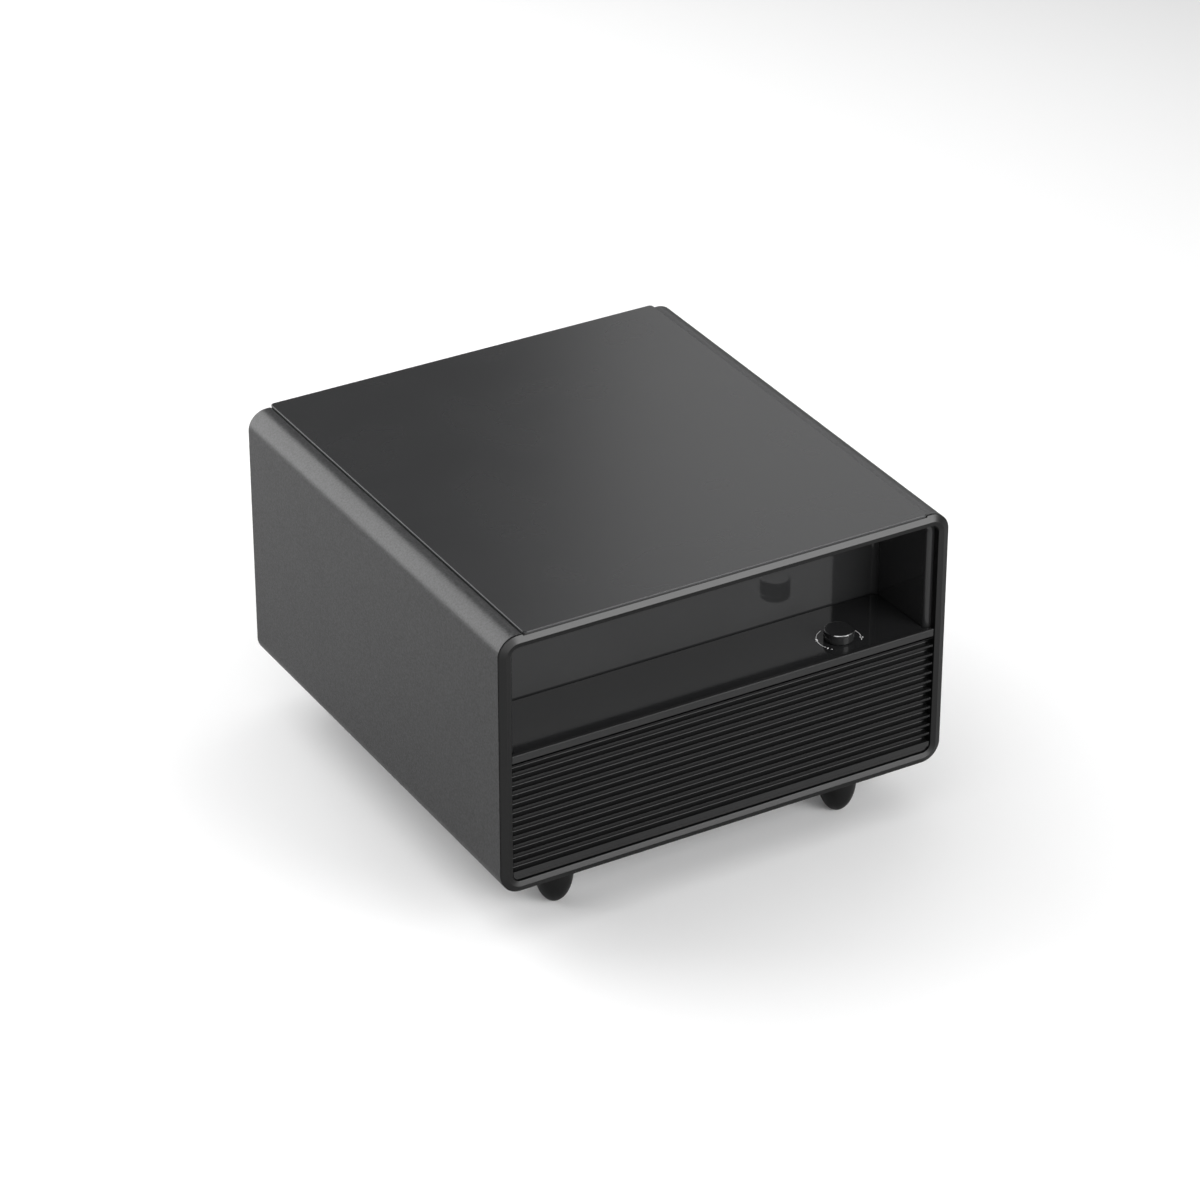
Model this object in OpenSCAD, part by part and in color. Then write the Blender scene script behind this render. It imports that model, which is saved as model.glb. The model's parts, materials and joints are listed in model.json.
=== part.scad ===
// Refrigerator coffee table: sheet metal cabinet on four feet, glass top, open niche with a control
// knob, and an insulated cooling drawer behind a ribbed front.
// X runs to the right, Y to the back, Z up. The origin is on the floor under the middle.

/* [Cabinet] */
// Width across the two side shells
table_w = 650; // [630:5:720]
// Depth from the front edge of the frame to the back edge of the shells
table_d = 678; // [672:2:740]
// Height of the cabinet from the lowest to the highest face of the shells
cabinet_h = 368; // [360:1:400]
// Outer radius of the long edges of the shells
corner_r = 27; // [24:0.5:30]
// Thickness of the steel sheet
sheet_t = 1.2; // [0.8:0.1:1.5]
// Width of the flat and rounded shoulder beside the glass
shoulder_w = 33.5; // [31:0.5:40]
// Depth of the return flanges at the front and back of a shell
return_w = 12; // [8:0.5:14]

/* [Glass top] */
// Thickness of the glass
glass_t = 5; // [4:0.5:6]
// Height of the glass above the shells
glass_proud = 3.5; // [1:0.5:4]
// Reach of the glass in front of the frame's outer edge
glass_front_reach = 2; // [0.5:0.1:3.9]
// Reach of the glass behind the shells
glass_back_reach = 2.5; // [0:0.5:3.5]
// Corner radius of the glass
glass_corner_r = 5; // [3:0.5:10]
// Chamfer round the upper edge of the glass
glass_chamfer = 0.8; // [0.3:0.1:1.5]
// Thickness of the panel that carries the glass
top_panel_t = 6; // [4:0.5:8]

/* [Front frame] */
// Width of the frame's bars
bar_w = 15.7; // [14:0.1:18]
// Distance of the ridge from the outer edge
ridge_in = 8.8; // [6:0.1:11]
// Height of the ridge in front of the outer edge
ridge_out = 4; // [2:0.1:5]
// Height of the inner edge in front of the outer edge
inner_out = 1.9; // [0.5:0.1:2.5]
// Width of the dark joint between the frame and the shells
shadow_gap = 0.8; // [0.5:0.1:1.2]
// Depth of the return inside the opening
jamb_d = 8; // [6:0.5:12]

/* [Niche] */
// Depth of the niche from its lip to its back wall
niche_d = 111; // [90:1:120]
// Distance of the niche's walls from the frame's inner edge
niche_margin = 9.5; // [9:0.5:14]
// Inward lean of the walls over the depth
niche_draft = 3.8; // [1:0.2:6]
// Radius of the lip round the mouth
lip_r = 7; // [5:0.5:8]
// Radius of the inner back corners
niche_corner_r = 8; // [5:0.5:12]
// Wall of the moulded liner
liner_t = 2.5; // [2:0.1:3]
// Thickness of the glossy floor plate
floor_t = 4; // [3:0.5:5]
// Joint round the floor plate
floor_gap = 0.8; // [0.5:0.1:1.5]
// Height of the carrier under the floor plate
shelf_h = 12; // [11:0.5:16]

/* [Knob] */
// Diameter of the knob
knob_d = 39.8; // [30:0.2:46]
// Height of the knob above its joint
knob_h = 13.2; // [10:0.2:18]
// Distance of the knob's axis from the niche's right wall
knob_side = 107.8; // [60:0.2:150]
// Distance of the knob's axis behind the niche's lip
knob_back = 34.2; // [27:0.5:60]
// Diameter of the shaft
shaft_d = 6; // [5:0.5:8]

/* [Drawer] */
// Height of the drawer front's upper edge above the cabinet's lowest face
drawer_top_h = 198.8; // [196:0.2:206]
// Joint between the drawer front and the frame
drawer_gap = 1.2; // [0.8:0.1:1.5]
// Height of the plain band along the drawer front's upper edge
band_h = 12.9; // [10:0.1:14]
// Number of grooves
rib_count = 12; // [10:1:13]
// Thickness of a rib's nose
rib_nose = 2.8; // [2:0.1:3.4]
// Depth of a groove behind the nose
rib_depth = 11.2; // [7:0.1:12]
// Thickness of the drawer's insulated front
front_t = 38; // [34:0.5:40]
// Wall of the drawer's bin
bin_t = 2; // [1.5:0.1:3]

/* [Cold cabinet] */
// Thickness of the insulation at the sides
side_foam = 38.5; // [34:0.5:44]
// Thickness of the insulation above and below
flat_foam = 22; // [18:0.5:26]
// Thickness of the insulation behind
back_foam = 15; // [12:0.5:30]
// Depth of the machine space behind the insulation
machine_d = 174; // [168:1:190]
// Wall of the inner tank
tank_t = 2; // [1.5:0.1:3]
// Width of one telescopic slide
slide_w = 13.4; // [12.6:0.1:14]
// Height of one telescopic slide
slide_h = 45; // [42:0.5:50]
// Distance of the slides' rear ends from the back of the cold space
slide_rear = 27; // [15:1:40]

/* [Feet] */
// Height of a foot below the cabinet
foot_h = 79; // [40:1:110]
// Radius of a foot
foot_r = 25.6; // [18:0.1:28]
// Length of the straight part at a foot's top
foot_straight = 33; // [10:1:38]
// Radius of the flat underneath
foot_flat_r = 6; // [4:0.5:10]
// Distance of the feet's axes from the sides
foot_side = 112.5; // [70:0.5:140]
// Distance of the feet's axes from the front and the back
foot_end = 67.8; // [60:0.2:120]

/* [Machine space] */
// Diameter of the compressor
comp_d = 126; // [110:1:130]
// Height of the compressor
comp_h = 140; // [120:1:148]
// Width and height of the fan's housing
fan_w = 120; // [110:1:130]
// Depth of the fan's housing
fan_t = 25; // [20:1:28]
// Number of the fan's blades
blade_count = 7; // [5:1:9]
// Number of the condenser's fins
fin_count = 20; // [12:1:24]
// Rows in each vent field
vent_rows = 11; // [6:1:11]

/* [Hidden] */
$fn = 64;

// Overrun of every cut
over = 1;
// Clearance between pieces that are fitted by hand
fit = 0.4;
// Clearance between a shaft and its bore
run_fit = 0.05;
// Clearance between moving pieces that don't touch
slack = 1;

half_w = table_w / 2;
front_y = -table_d / 2;
back_y = table_d / 2;
box_z0 = foot_h;
box_z1 = foot_h + cabinet_h;
box_zc = foot_h + cabinet_h / 2;

// Frame: thickness of its edge, inset of its step and wall of its return
edge_t = 1;
step_in = 1.5;
frame_t = 2;
shell_y0 = front_y + edge_t + shadow_gap;
open_x = half_w - bar_w;
open_z1 = box_z1 - bar_w;

// Glass and the ledges that carry it
glass_z1 = box_z1 + glass_proud;
glass_z0 = glass_z1 - glass_t;
glass_gap = 0.6;
glass_x = half_w - shoulder_w - glass_gap;
ledge_z = glass_z0 - top_panel_t;
ledge_w = 20;
bottom_lip = 12;

// Niche
lip_y = front_y + jamb_d;
mouth_y = lip_y + lip_r;
niche_y1 = lip_y + niche_d;
niche_x = open_x - niche_margin;
niche_z1 = open_z1 - niche_margin;
mouth_r = 6;
lip_flange = 9;
floor_drop = 1.3;
floor_z1 = box_z0 + drawer_top_h - floor_drop;
floor_z0 = floor_z1 - floor_t;
shelf_z0 = floor_z0 - shelf_h;
shelf_skin = 3;
tongue = 2.2;
floor_y0 = lip_y - tongue;

// Knob
knob_x = niche_x - knob_side;
knob_y = lip_y + knob_back;
knob_z0 = floor_z1 + slack;
knob_edge = 1.6;
knob_wall = 2.4;
disc_t = 1.2;
encoder_w = 14;
encoder_h = 7;

// Drawer front
rim_t = 5.5;
drawer_y0 = front_y - 0.5 * edge_t;
rim_y1 = drawer_y0 + rim_t;
drawer_x = open_x - drawer_gap;
drawer_z0 = box_z0 + bar_w + drawer_gap;
drawer_z1 = box_z0 + drawer_top_h;
groove_y = drawer_y0 + rib_depth;
groove_r = 0.9;
skin_t = 2.3;
panel_y1 = groove_y + skin_t;
shelf_y0 = panel_y1 + slack;
thick_z1 = shelf_z0 - 1.5 * slack;
plinth_h = 30.3;
groove_z0 = box_z0 + plinth_h;
rib_pitch = (drawer_top_h - plinth_h - band_h + rib_nose) / rib_count;
foot_band = 8;
band_chamfer = 0.8;
core_wall = 3;
toe_set = 1.2;
drawer_y1 = drawer_y0 + front_t;
inner_t = 2;
gasket_t = 8;
gasket_w = 14;

// Cold cabinet
trim_t = 2;
trim_y0 = drawer_y1 + gasket_t + fit;
cold_y0 = trim_y0 + trim_t;
cold_x = half_w - sheet_t - fit - side_foam - tank_t;
pan_z1 = box_z0 + 2 * sheet_t;
low_foam_extra = 8;
cold_z0 = pan_z1 + flat_foam + low_foam_extra + tank_t;
cold_z1 = shelf_z0 - flat_foam - tank_t;
foam_y1 = back_y - machine_d;
cold_y1 = foam_y1 - back_foam - tank_t;
cold_d = cold_y1 - cold_y0;
tank_r = 12;
slide_zc = (cold_z0 + cold_z1) / 2;
bin_x = cold_x - slide_w;
bin_gap = 5;
bin_r = 10;
bin_z0 = cold_z0 + bin_gap;
bin_z1 = cold_z1 - bin_gap;
bin_y1 = cold_y1 - slide_rear - slack;
slide_set = 2;
slide_y0 = cold_y0 + slide_set;
slide_l = cold_d - slide_set - slide_rear;
slide_t = 1.2;
race = 4.3;
ball_pitch = 32;
cage_w = 4.6;
cage_t = 1;
trim_margin = 4;
shelf_rib_t = 2.5;
pan_upstand = 10;

// Machine space
comp_side = 135;
comp_x = half_w - comp_side;
plate_pad = 12;
comp_y = (foam_y1 + back_y) / 2;
grommet_h = 9;
grommet_r = 8;
neck_r = 3.2;
comp_plate_t = 2.5;
comp_z0 = pan_z1 + grommet_h + comp_plate_t;
fan_share = -0.185;
fan_x = fan_share * half_w;
fan_zc = pan_z1 + fan_w / 2;
fan_wall = 3;
fan_corner_r = 6;
strut_t = 3;
strut_w = 5;
motor_l = 9;
hub_wall = 2;
hub_face = 5;
blade_t = 1.6;
hub_d = 36;
pin_d = 3;
coil_d = 6;
coil_step = 24;
coil_rows = 4;
coil_l = 118;
fin_t = 0.6;
fin_d = 44;
fin_y0 = comp_y - fin_d / 2;
fin_y1 = comp_y + fin_d / 2;
fan_gap = 3;
fan_y0 = fin_y1 + fan_gap;
fan_y1 = fan_y0 + fan_t;
bend_r = 12;
stub_r = 5;
stub_l = 6;
louvre_out = 4;
vent_w_share = 0.338;
vent_w = vent_w_share * half_w;
vent_share = -0.585;
vent_pitch = 11;

// Arc from angle a0 to angle a1 in n steps
function arc(cx, cy, r, a0, a1, n) =
    [for (i = [0:n]) [cx + r * cos(a0 + (a1 - a0) * i / n), cy + r * sin(a0 + (a1 - a0) * i / n)]];
function mirrored(points) = [for (i = [len(points) - 1:-1:0]) [-points[i][0], points[i][1]]];

// Turns a sheet drawn as X and Z upright, so that it is extruded towards the back from y0
module upright(y0, depth) {
    translate([0, y0 + depth, 0])
        rotate([90, 0, 0])
            linear_extrude(depth)
                children();
}

module rounded(w, h, r) {
    square([w - 2 * r, h], center = true);
    square([w, h - 2 * r], center = true);
    for (sx = [-1, 1], sy = [-1, 1])
        translate([sx * (w / 2 - r), sy * (h / 2 - r)])
            circle(r);
}

// Outline of the cabinet's cross section, drawn in by an inset
module cabinet_outline(inset) {
    translate([0, box_zc])
        rounded(table_w - 2 * inset, cabinet_h - 2 * inset, corner_r - inset);
}

// Sweeps a profile round a rounded rectangle; its X is counted from the corner's centre
module loop_sweep(w, h, r, points) {
    cx = w / 2 - r;
    cy = h / 2 - r;
    for (k = [0:3])
        rotate([0, 0, 90 * k])
            translate([k % 2 == 0 ? cx : cy, k % 2 == 0 ? cy : cx, 0]) {
                rotate_extrude(angle = 90)
                    polygon(points);
                rotate([90, 0, 0])
                    linear_extrude(2 * (k % 2 == 0 ? cy : cx))
                        polygon(points);
            }
}

// The part of the cabinet's ring that one shell covers
module shell_zone() {
    translate([-half_w - over, box_zc])
        square([over + shoulder_w, cabinet_h / 2 + over]);
    translate([-half_w - over, box_z0 - over])
        square([over + corner_r + bottom_lip, cabinet_h / 2 + 2 * over]);
}

module shell_ring(width) {
    intersection() {
        difference() {
            cabinet_outline(0);
            cabinet_outline(width);
        }
        shell_zone();
    }
}

module side_shell() {
    upright(shell_y0, back_y - shell_y0) {
        shell_ring(sheet_t);
        translate([-half_w + shoulder_w - sheet_t, ledge_z - sheet_t])
            square([sheet_t, box_z1 - ledge_z + sheet_t]);
        translate([-half_w + shoulder_w - sheet_t, ledge_z - sheet_t])
            square([ledge_w + sheet_t, sheet_t]);
    }
    upright(shell_y0, sheet_t)
        shell_ring(return_w);
    difference() {
        upright(back_y - 2 * sheet_t, sheet_t)
            shell_ring(return_w);
        screw_places(rear_screw_d / 2 + 0.5 * fit);
    }
}

module side_shell_left() {
    color([0.24, 0.25, 0.26])
        side_shell();
}

module side_shell_right() {
    color([0.24, 0.25, 0.26])
        mirror([1, 0, 0])
            side_shell();
}

module front_frame() {
    points = [
        [0, 0], [ridge_in, ridge_out], [bar_w, inner_out], [bar_w, -jamb_d],
        [bar_w - frame_t, -jamb_d], [bar_w - frame_t, -edge_t - shadow_gap],
        [step_in, -edge_t - shadow_gap], [step_in, -edge_t], [0, -edge_t]
    ];
    profile = [for (p = points) [corner_r - p[0], p[1]]];
    color([0.3, 0.3, 0.31])
        difference() {
            translate([0, front_y, box_zc])
                rotate([90, 0, 0])
                    loop_sweep(table_w, cabinet_h, corner_r, profile);
            translate([-half_w + shoulder_w, front_y - ridge_out - over, glass_z0 - 0.5 * fit])
                cube([table_w - 2 * shoulder_w, ridge_out + jamb_d + 2 * over, glass_t + over]);
        }
}

module glass_plan(inset) {
    translate([0, (back_y + glass_back_reach + front_y - glass_front_reach) / 2])
        rounded(2 * (glass_x - inset), table_d + glass_back_reach + glass_front_reach - 2 * inset,
            glass_corner_r - inset);
}

module glass_top() {
    depth = table_d + glass_back_reach + glass_front_reach;
    y_mid = (glass_back_reach - glass_front_reach) / 2;
    color([0.2, 0.21, 0.22])
        difference() {
            translate([0, 0, glass_z0])
                linear_extrude(glass_t)
                    glass_plan(0);
            translate([0, y_mid, glass_z1])
                loop_sweep(2 * glass_x, depth, glass_corner_r, [
                    [glass_corner_r - glass_chamfer, 0], [glass_corner_r + over, -glass_chamfer - over],
                    [glass_corner_r + over, over], [glass_corner_r - glass_chamfer, over]
                ]);
        }
}

module top_panel() {
    color([0.12, 0.12, 0.12])
        translate([-glass_x, shell_y0, ledge_z])
            cube([2 * glass_x, back_y - shell_y0 - fit, top_panel_t]);
}

module base_pan() {
    pan_x = half_w - corner_r - fit;
    pan_y0 = shell_y0 + sheet_t + fit;
    pan_y1 = back_y - 2 * sheet_t - fit;
    lift = box_z0 + sheet_t;
    color([0.16, 0.16, 0.17])
        difference() {
            union() {
                translate([-pan_x, pan_y0, lift])
                    cube([2 * pan_x, pan_y1 - pan_y0, sheet_t]);
                translate([-pan_x, pan_y0, lift])
                    cube([2 * pan_x, sheet_t, pan_upstand]);
                translate([-pan_x, pan_y1 - sheet_t, lift])
                    cube([2 * pan_x, sheet_t, pan_upstand]);
            }
            foot_places()
                translate([0, 0, box_z0])
                    cylinder(h = 3 * sheet_t, r = stud_d / 2 + 0.5 * fit);
        }
}

// Rear panel with pressed louvres
rear_screw_d = 4;
rear_head_d = 8;
rear_head_h = 2.2;
rear_screw_l = 9;

module screw_places(r) {
    inset = sheet_t + fit + return_w / 2;
    for (sx = [-1, 1], share = [-0.36, 0, 0.36])
        translate([sx * (half_w - inset), back_y + over, box_zc + share * cabinet_h])
            rotate([90, 0, 0])
                cylinder(h = 4 * sheet_t + 2 * over, r = r, $fn = 24);
}

module louvre() {
    drop = 0.62 * vent_pitch;
    outer = [[-over, 0], [louvre_out, -0.45 * drop], [louvre_out, -drop], [-over, -drop]];
    inner = [
        [-2 * over - sheet_t, -sheet_t], [0, -sheet_t], [louvre_out - sheet_t, -0.45 * drop - 0.6 * sheet_t],
        [louvre_out - sheet_t, -drop - over], [-2 * over - sheet_t, -drop - over]
    ];
    difference() {
        rotate([90, 0, 90])
            translate([0, 0, -vent_w / 2])
                linear_extrude(vent_w)
                    polygon(outer);
        rotate([90, 0, 90])
            translate([0, 0, -vent_w / 2 + sheet_t])
                linear_extrude(vent_w - 2 * sheet_t)
                    polygon(inner);
    }
}

module vent_fields() {
    low_z = pan_z1 + 1.6 * vent_pitch;
    high_z = shelf_z0 + 3 * vent_pitch;
    for (x = [fan_x, vent_share * half_w], row = [0:vent_rows - 1])
        translate([x, back_y, low_z + row * vent_pitch])
            children();
    for (x = [vent_share * half_w, fan_x, comp_x], row = [0:3])
        translate([x, back_y, high_z + row * vent_pitch])
            children();
}

module rear_panel() {
    inset = sheet_t + fit;
    color([0.14, 0.14, 0.15]) {
        difference() {
            upright(back_y - sheet_t, sheet_t)
                intersection() {
                    cabinet_outline(inset);
                    translate([-half_w, box_z0])
                        square([table_w, ledge_z - sheet_t - fit - box_z0]);
                }
            screw_places(rear_screw_d / 2 + 0.5 * fit);
            vent_fields()
                translate([-vent_w / 2 + sheet_t, -2 * sheet_t, -0.62 * vent_pitch - 0.1 * sheet_t])
                    cube([vent_w - 2 * sheet_t, 3 * sheet_t, 0.62 * vent_pitch - sheet_t]);
            inlet_place()
                cube([inlet_w, 8 * sheet_t, inlet_h], center = true);
        }
        vent_fields()
            intersection() {
                louvre();
                translate([-vent_w, 0, -vent_pitch])
                    cube([2 * vent_w, 2 * louvre_out, 2 * vent_pitch]);
            }
    }
}

module rear_panel_screws() {
    inset = sheet_t + fit + return_w / 2;
    color([0.5, 0.5, 0.52])
        for (sx = [-1, 1], share = [-0.36, 0, 0.36])
            translate([sx * (half_w - inset), back_y, box_zc + share * cabinet_h])
                rotate([90, 0, 0]) {
                    cylinder(h = rear_screw_l, r = rear_screw_d / 2, $fn = 24);
                    difference() {
                        translate([0, 0, -rear_head_h])
                            cylinder(h = rear_head_h, r = rear_head_d / 2, $fn = 32);
                        for (a = [0, 90])
                            rotate([0, 0, a])
                                translate([-0.3 * rear_head_d, -0.06 * rear_head_d, -rear_head_h - over])
                                    cube([0.6 * rear_head_d, 0.12 * rear_head_d, over + 0.5 * rear_head_h]);
                    }
                }
}

// Pocket of the niche: a rounded mouth that narrows to rounded back corners
module niche_pocket(grow, reach) {
    low = shelf_z0;
    x1 = niche_x + grow;
    z1 = niche_z1 + grow;
    r1 = niche_corner_r + grow;
    hull() {
        translate([0, mouth_y + over, (low + z1) / 2])
            rotate([90, 0, 0])
                linear_extrude(over + reach)
                    rounded(2 * x1, z1 - low, mouth_r + grow, $fn = 32);
        for (sx = [-1, 1], z = [low + r1, z1 - niche_draft - r1])
            translate([sx * (x1 - niche_draft - r1), niche_y1 + grow - r1, z])
                sphere(r1, $fn = 32);
    }
}

module niche_liner() {
    n = 10;
    profile = [for (p = concat(
        arc(lip_r, -lip_r, lip_r, 180, 90, n),
        [[lip_r + lip_flange, 0], [lip_r + lip_flange, -liner_t]],
        arc(lip_r, -lip_r, lip_r - liner_t, 90, 180, n)
    )) [mouth_r + p[0], p[1]]];
    low = shelf_z0;
    color([0.09, 0.09, 0.1])
        difference() {
            union() {
                difference() {
                    niche_pocket(liner_t, 0);
                    niche_pocket(0, over);
                }
                translate([0, lip_y, (low + niche_z1) / 2])
                    rotate([90, 0, 0])
                        loop_sweep(2 * niche_x, niche_z1 - low, mouth_r, profile, $fn = 32);
            }
            translate([-half_w, front_y, low - 2 * lip_r - lip_flange])
                cube([table_w, table_d, floor_z0 - low + 2 * lip_r + lip_flange]);
        }
}

// Floor plate with the flare that follows the lip
module niche_floor_glass() {
    n = 8;
    r = niche_corner_r - floor_gap;
    x_back = niche_x - niche_draft - floor_gap;
    y_back = niche_y1 - floor_gap;
    right_side = concat(
        [[open_x - floor_gap, floor_y0], [open_x - floor_gap, lip_y - floor_gap]],
        arc(niche_x + lip_r, mouth_y, lip_r + floor_gap, 270, 180, n),
        arc(x_back - r, y_back - r, r, 0, 90, n)
    );
    color([0.07, 0.07, 0.08])
        difference() {
            translate([0, 0, floor_z0])
                linear_extrude(floor_t)
                    polygon(concat(right_side, mirrored(right_side)));
            translate([knob_x, knob_y, floor_z0 - over])
                cylinder(h = floor_t + 2 * over, r = shaft_d / 2 + slack);
        }
}

module niche_shelf() {
    shelf_x = half_w - sheet_t - fit;
    y1 = niche_y1 + 2 * liner_t;
    color([0.1, 0.1, 0.11])
        difference() {
            translate([-shelf_x, shelf_y0, shelf_z0])
                cube([2 * shelf_x, y1 - shelf_y0, shelf_h]);
            difference() {
                translate([-open_x + 2 * shelf_rib_t, shelf_y0 + shelf_rib_t, shelf_z0 - over])
                    cube([2 * (open_x - 2 * shelf_rib_t), y1 - shelf_y0 - 2 * shelf_rib_t, shelf_h - shelf_skin + over]);
                for (share = [-0.75, -0.25, 0.25, 0.75])
                    translate([share * open_x - shelf_rib_t / 2, shelf_y0, shelf_z0 - over])
                        cube([shelf_rib_t, y1 - shelf_y0, shelf_h]);
            }
            translate([knob_x, knob_y, shelf_z0 - over])
                cylinder(h = shelf_h + 2 * over, r = shaft_d / 2 + slack);
        }
}

module knob_encoder() {
    top = floor_z0 - shelf_skin;
    color([0.3, 0.32, 0.3])
        difference() {
            union() {
                translate([knob_x - encoder_w / 2, knob_y - encoder_w / 2, top - encoder_h])
                    cube([encoder_w, encoder_w, encoder_h]);
                translate([knob_x, knob_y, top - over])
                    cylinder(h = shelf_skin + over, r = shaft_d / 2 + slack - 0.3 * fit);
            }
            translate([knob_x, knob_y, top - encoder_h + over])
                cylinder(h = encoder_h + shelf_skin + 2 * over, r = shaft_d / 2 + run_fit);
        }
}

// Knob: turned cap with a bright rim, a glossy disc let into its top, and the shaft
module knob_cap() {
    r = knob_d / 2;
    z1 = knob_h;
    color([0.12, 0.12, 0.13])
        translate([knob_x, knob_y, knob_z0]) {
            rotate_extrude($fn = 96)
                polygon([
                    [0, z1 - disc_t - knob_wall], [r - knob_wall, z1 - disc_t - knob_wall],
                    [r - knob_wall, 0], [r - 0.3 * knob_edge, 0], [r, 0.3 * knob_edge],
                    [r, z1 - knob_edge], [r - knob_edge, z1], [r - 2 * knob_edge, z1],
                    [r - 2 * knob_edge, z1 - disc_t], [0, z1 - disc_t]
                ]);
            difference() {
                translate([0, 0, knob_wall])
                    cylinder(h = z1 - disc_t - 2 * knob_wall, r = shaft_d / 2 + knob_wall, $fn = 48);
                cylinder(h = z1 - disc_t - knob_wall, r = shaft_d / 2);
            }
        }
}

module knob_disc() {
    color([0.04, 0.04, 0.05])
        translate([knob_x, knob_y, knob_z0 + knob_h - disc_t])
            cylinder(h = disc_t, r = knob_d / 2 - 2 * knob_edge - 0.3 * fit, $fn = 96);
}

module knob_shaft() {
    z0 = floor_z0 - shelf_skin - encoder_h + 2 * over;
    color([0.6, 0.6, 0.62])
        translate([knob_x, knob_y, z0])
            cylinder(h = knob_z0 + knob_h - disc_t - knob_wall - z0, r = shaft_d / 2);
}

module cold_outline(grow) {
    translate([0, (cold_z0 + cold_z1) / 2])
        rounded(2 * (cold_x + grow), cold_z1 - cold_z0 + 2 * grow, tank_r + grow);
}

module cold_tank() {
    color([0.85, 0.86, 0.87])
        difference() {
            upright(cold_y0, cold_d + tank_t)
                cold_outline(tank_t);
            upright(cold_y0 - over, cold_d + over)
                cold_outline(0);
            evaporator_tail(coil_d / 2 + 0.5 * fit);
        }
}

module cabinet_insulation() {
    color([0.82, 0.76, 0.55])
        difference() {
            upright(cold_y0, foam_y1 - cold_y0)
                intersection() {
                    cabinet_outline(sheet_t + fit);
                    translate([-half_w, pan_z1])
                        square([table_w, shelf_z0 - pan_z1]);
                }
            upright(cold_y0 - over, cold_d + tank_t + over)
                cold_outline(tank_t);
            evaporator_tail(coil_d / 2 + 0.5 * fit);
            foot_places()
                translate([0, 0, pan_z1 - over])
                    cylinder(h = stud_up + 2 * over, r = 1.5 * stud_d);
        }
}

module bay_outline(grow) {
    z0 = box_z0 + bar_w;
    intersection() {
        translate([0, shelf_z0])
            rounded(2 * (open_x + grow), 2 * (shelf_z0 - z0 + grow), corner_r - bar_w + grow);
        translate([-half_w, z0 - grow])
            square([table_w, shelf_z0 - z0 + grow]);
    }
}

module cold_front_trim() {
    color([0.15, 0.15, 0.16]) {
        difference() {
            upright(trim_y0, trim_t)
                intersection() {
                    cabinet_outline(sheet_t + trim_margin);
                    translate([-half_w, pan_z1 + trim_margin])
                        square([table_w, shelf_z0 - pan_z1 - trim_margin]);
                }
            upright(trim_y0 - over, trim_t + 2 * over)
                cold_outline(0);
        }
        upright(lip_y + fit, trim_y0 + 0.5 * trim_t - lip_y - fit)
            difference() {
                bay_outline(trim_t);
                bay_outline(0);
            }
    }
}

// Roll bonded evaporator on the tank's back wall, with its raised channel
evap_t = 1.4;
channel_r = 3;
evap_w_share = 0.742;
evap_h_share = 0.748;
evap_w = evap_w_share * 2 * cold_x;
evap_h = evap_h_share * (cold_z1 - cold_z0);

module evaporator_tail(r) {
    translate([comp_x, foam_y1 + over, slide_zc])
        rotate([90, 0, 0])
            cylinder(h = foam_y1 - cold_y1 + 2 * over, r = r, $fn = 32);
}

module evaporator_plate() {
    rows = 4;
    step = evap_h / (rows + 1);
    run = evap_w - 6 * channel_r;
    y1 = cold_y1;
    color([0.75, 0.77, 0.78]) {
        upright(y1 - evap_t, evap_t)
            translate([0, slide_zc])
                rounded(evap_w, evap_h, 3 * channel_r);
        for (i = [0:rows - 1])
            translate([-run / 2, y1 - evap_t, slide_zc + (i - (rows - 1) / 2) * step])
                rotate([0, 90, 0])
                    intersection() {
                        cylinder(h = run, r = channel_r, $fn = 24);
                        translate([-2 * channel_r, -2 * channel_r, 0])
                            cube([4 * channel_r, 2 * channel_r, run]);
                    }
        for (i = [0:rows - 2])
            translate([(i % 2 == 0 ? 1 : -1) * run / 2, y1 - evap_t,
                slide_zc + (i + 0.5 - (rows - 1) / 2) * step])
                rotate([90, 0, 0])
                    rotate([0, 0, i % 2 == 0 ? -90 : 90])
                        rotate_extrude(angle = 180)
                            intersection() {
                                translate([step / 2, 0])
                                    circle(channel_r, $fn = 24);
                                translate([0, 0])
                                    square([step + 2 * channel_r, channel_r + over]);
                            }
    }
}

// Telescopic slide: three nested channels, drawn from the tank's wall inwards
module channel(x0, x1, half_h, web_first) {
    difference() {
        translate([x0, -half_h])
            square([x1 - x0, 2 * half_h]);
        translate([web_first ? x0 + slide_t : x0 - over, -half_h + slide_t])
            square([x1 - x0 - slide_t + over, 2 * (half_h - slide_t)]);
    }
}

module slide_part(x0, x1, half_h, web_first, y0, len) {
    translate([-cold_x, 0, slide_zc])
        upright(y0, len)
            channel(x0, x1, half_h, web_first);
}

module slide_outer() {
    slide_part(0, slide_w - 2 * slide_t, slide_h / 2, true, slide_y0, slide_l);
}

module slide_mid() {
    slide_part(slide_t + fit, slide_w - 1.5 * slide_t, slide_h / 2 - race - slide_t, true,
        slide_y0, slide_l - slack);
}

module slide_inner() {
    slide_part(2 * slide_t + 2 * fit, slide_w, slide_h / 2 - 2 * race - 2 * slide_t, false,
        slide_y0, slide_l - 2 * slack);
}

// Balls in their cages, in the four races of one slide
module slide_balls() {
    r = race / 2 - 0.5 * fit;
    x = -cold_x + slide_t + fit + cage_w;
    outer_h = slide_h / 2 - slide_t - race + r;
    inner_h = slide_h / 2 - race - 2 * slide_t - r;
    run = slide_l - 2 * ball_pitch;
    balls = floor(run / ball_pitch);
    for (h = [outer_h, inner_h, -inner_h, -outer_h]) {
        translate([x - cage_w / 2, slide_y0 + ball_pitch / 2, slide_zc + h - cage_t / 2])
            cube([cage_w, (balls + 1) * ball_pitch, cage_t]);
        for (i = [0:balls])
            translate([x, slide_y0 + (i + 1) * ball_pitch, slide_zc + h])
                sphere(r, $fn = 32);
    }
}

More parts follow.
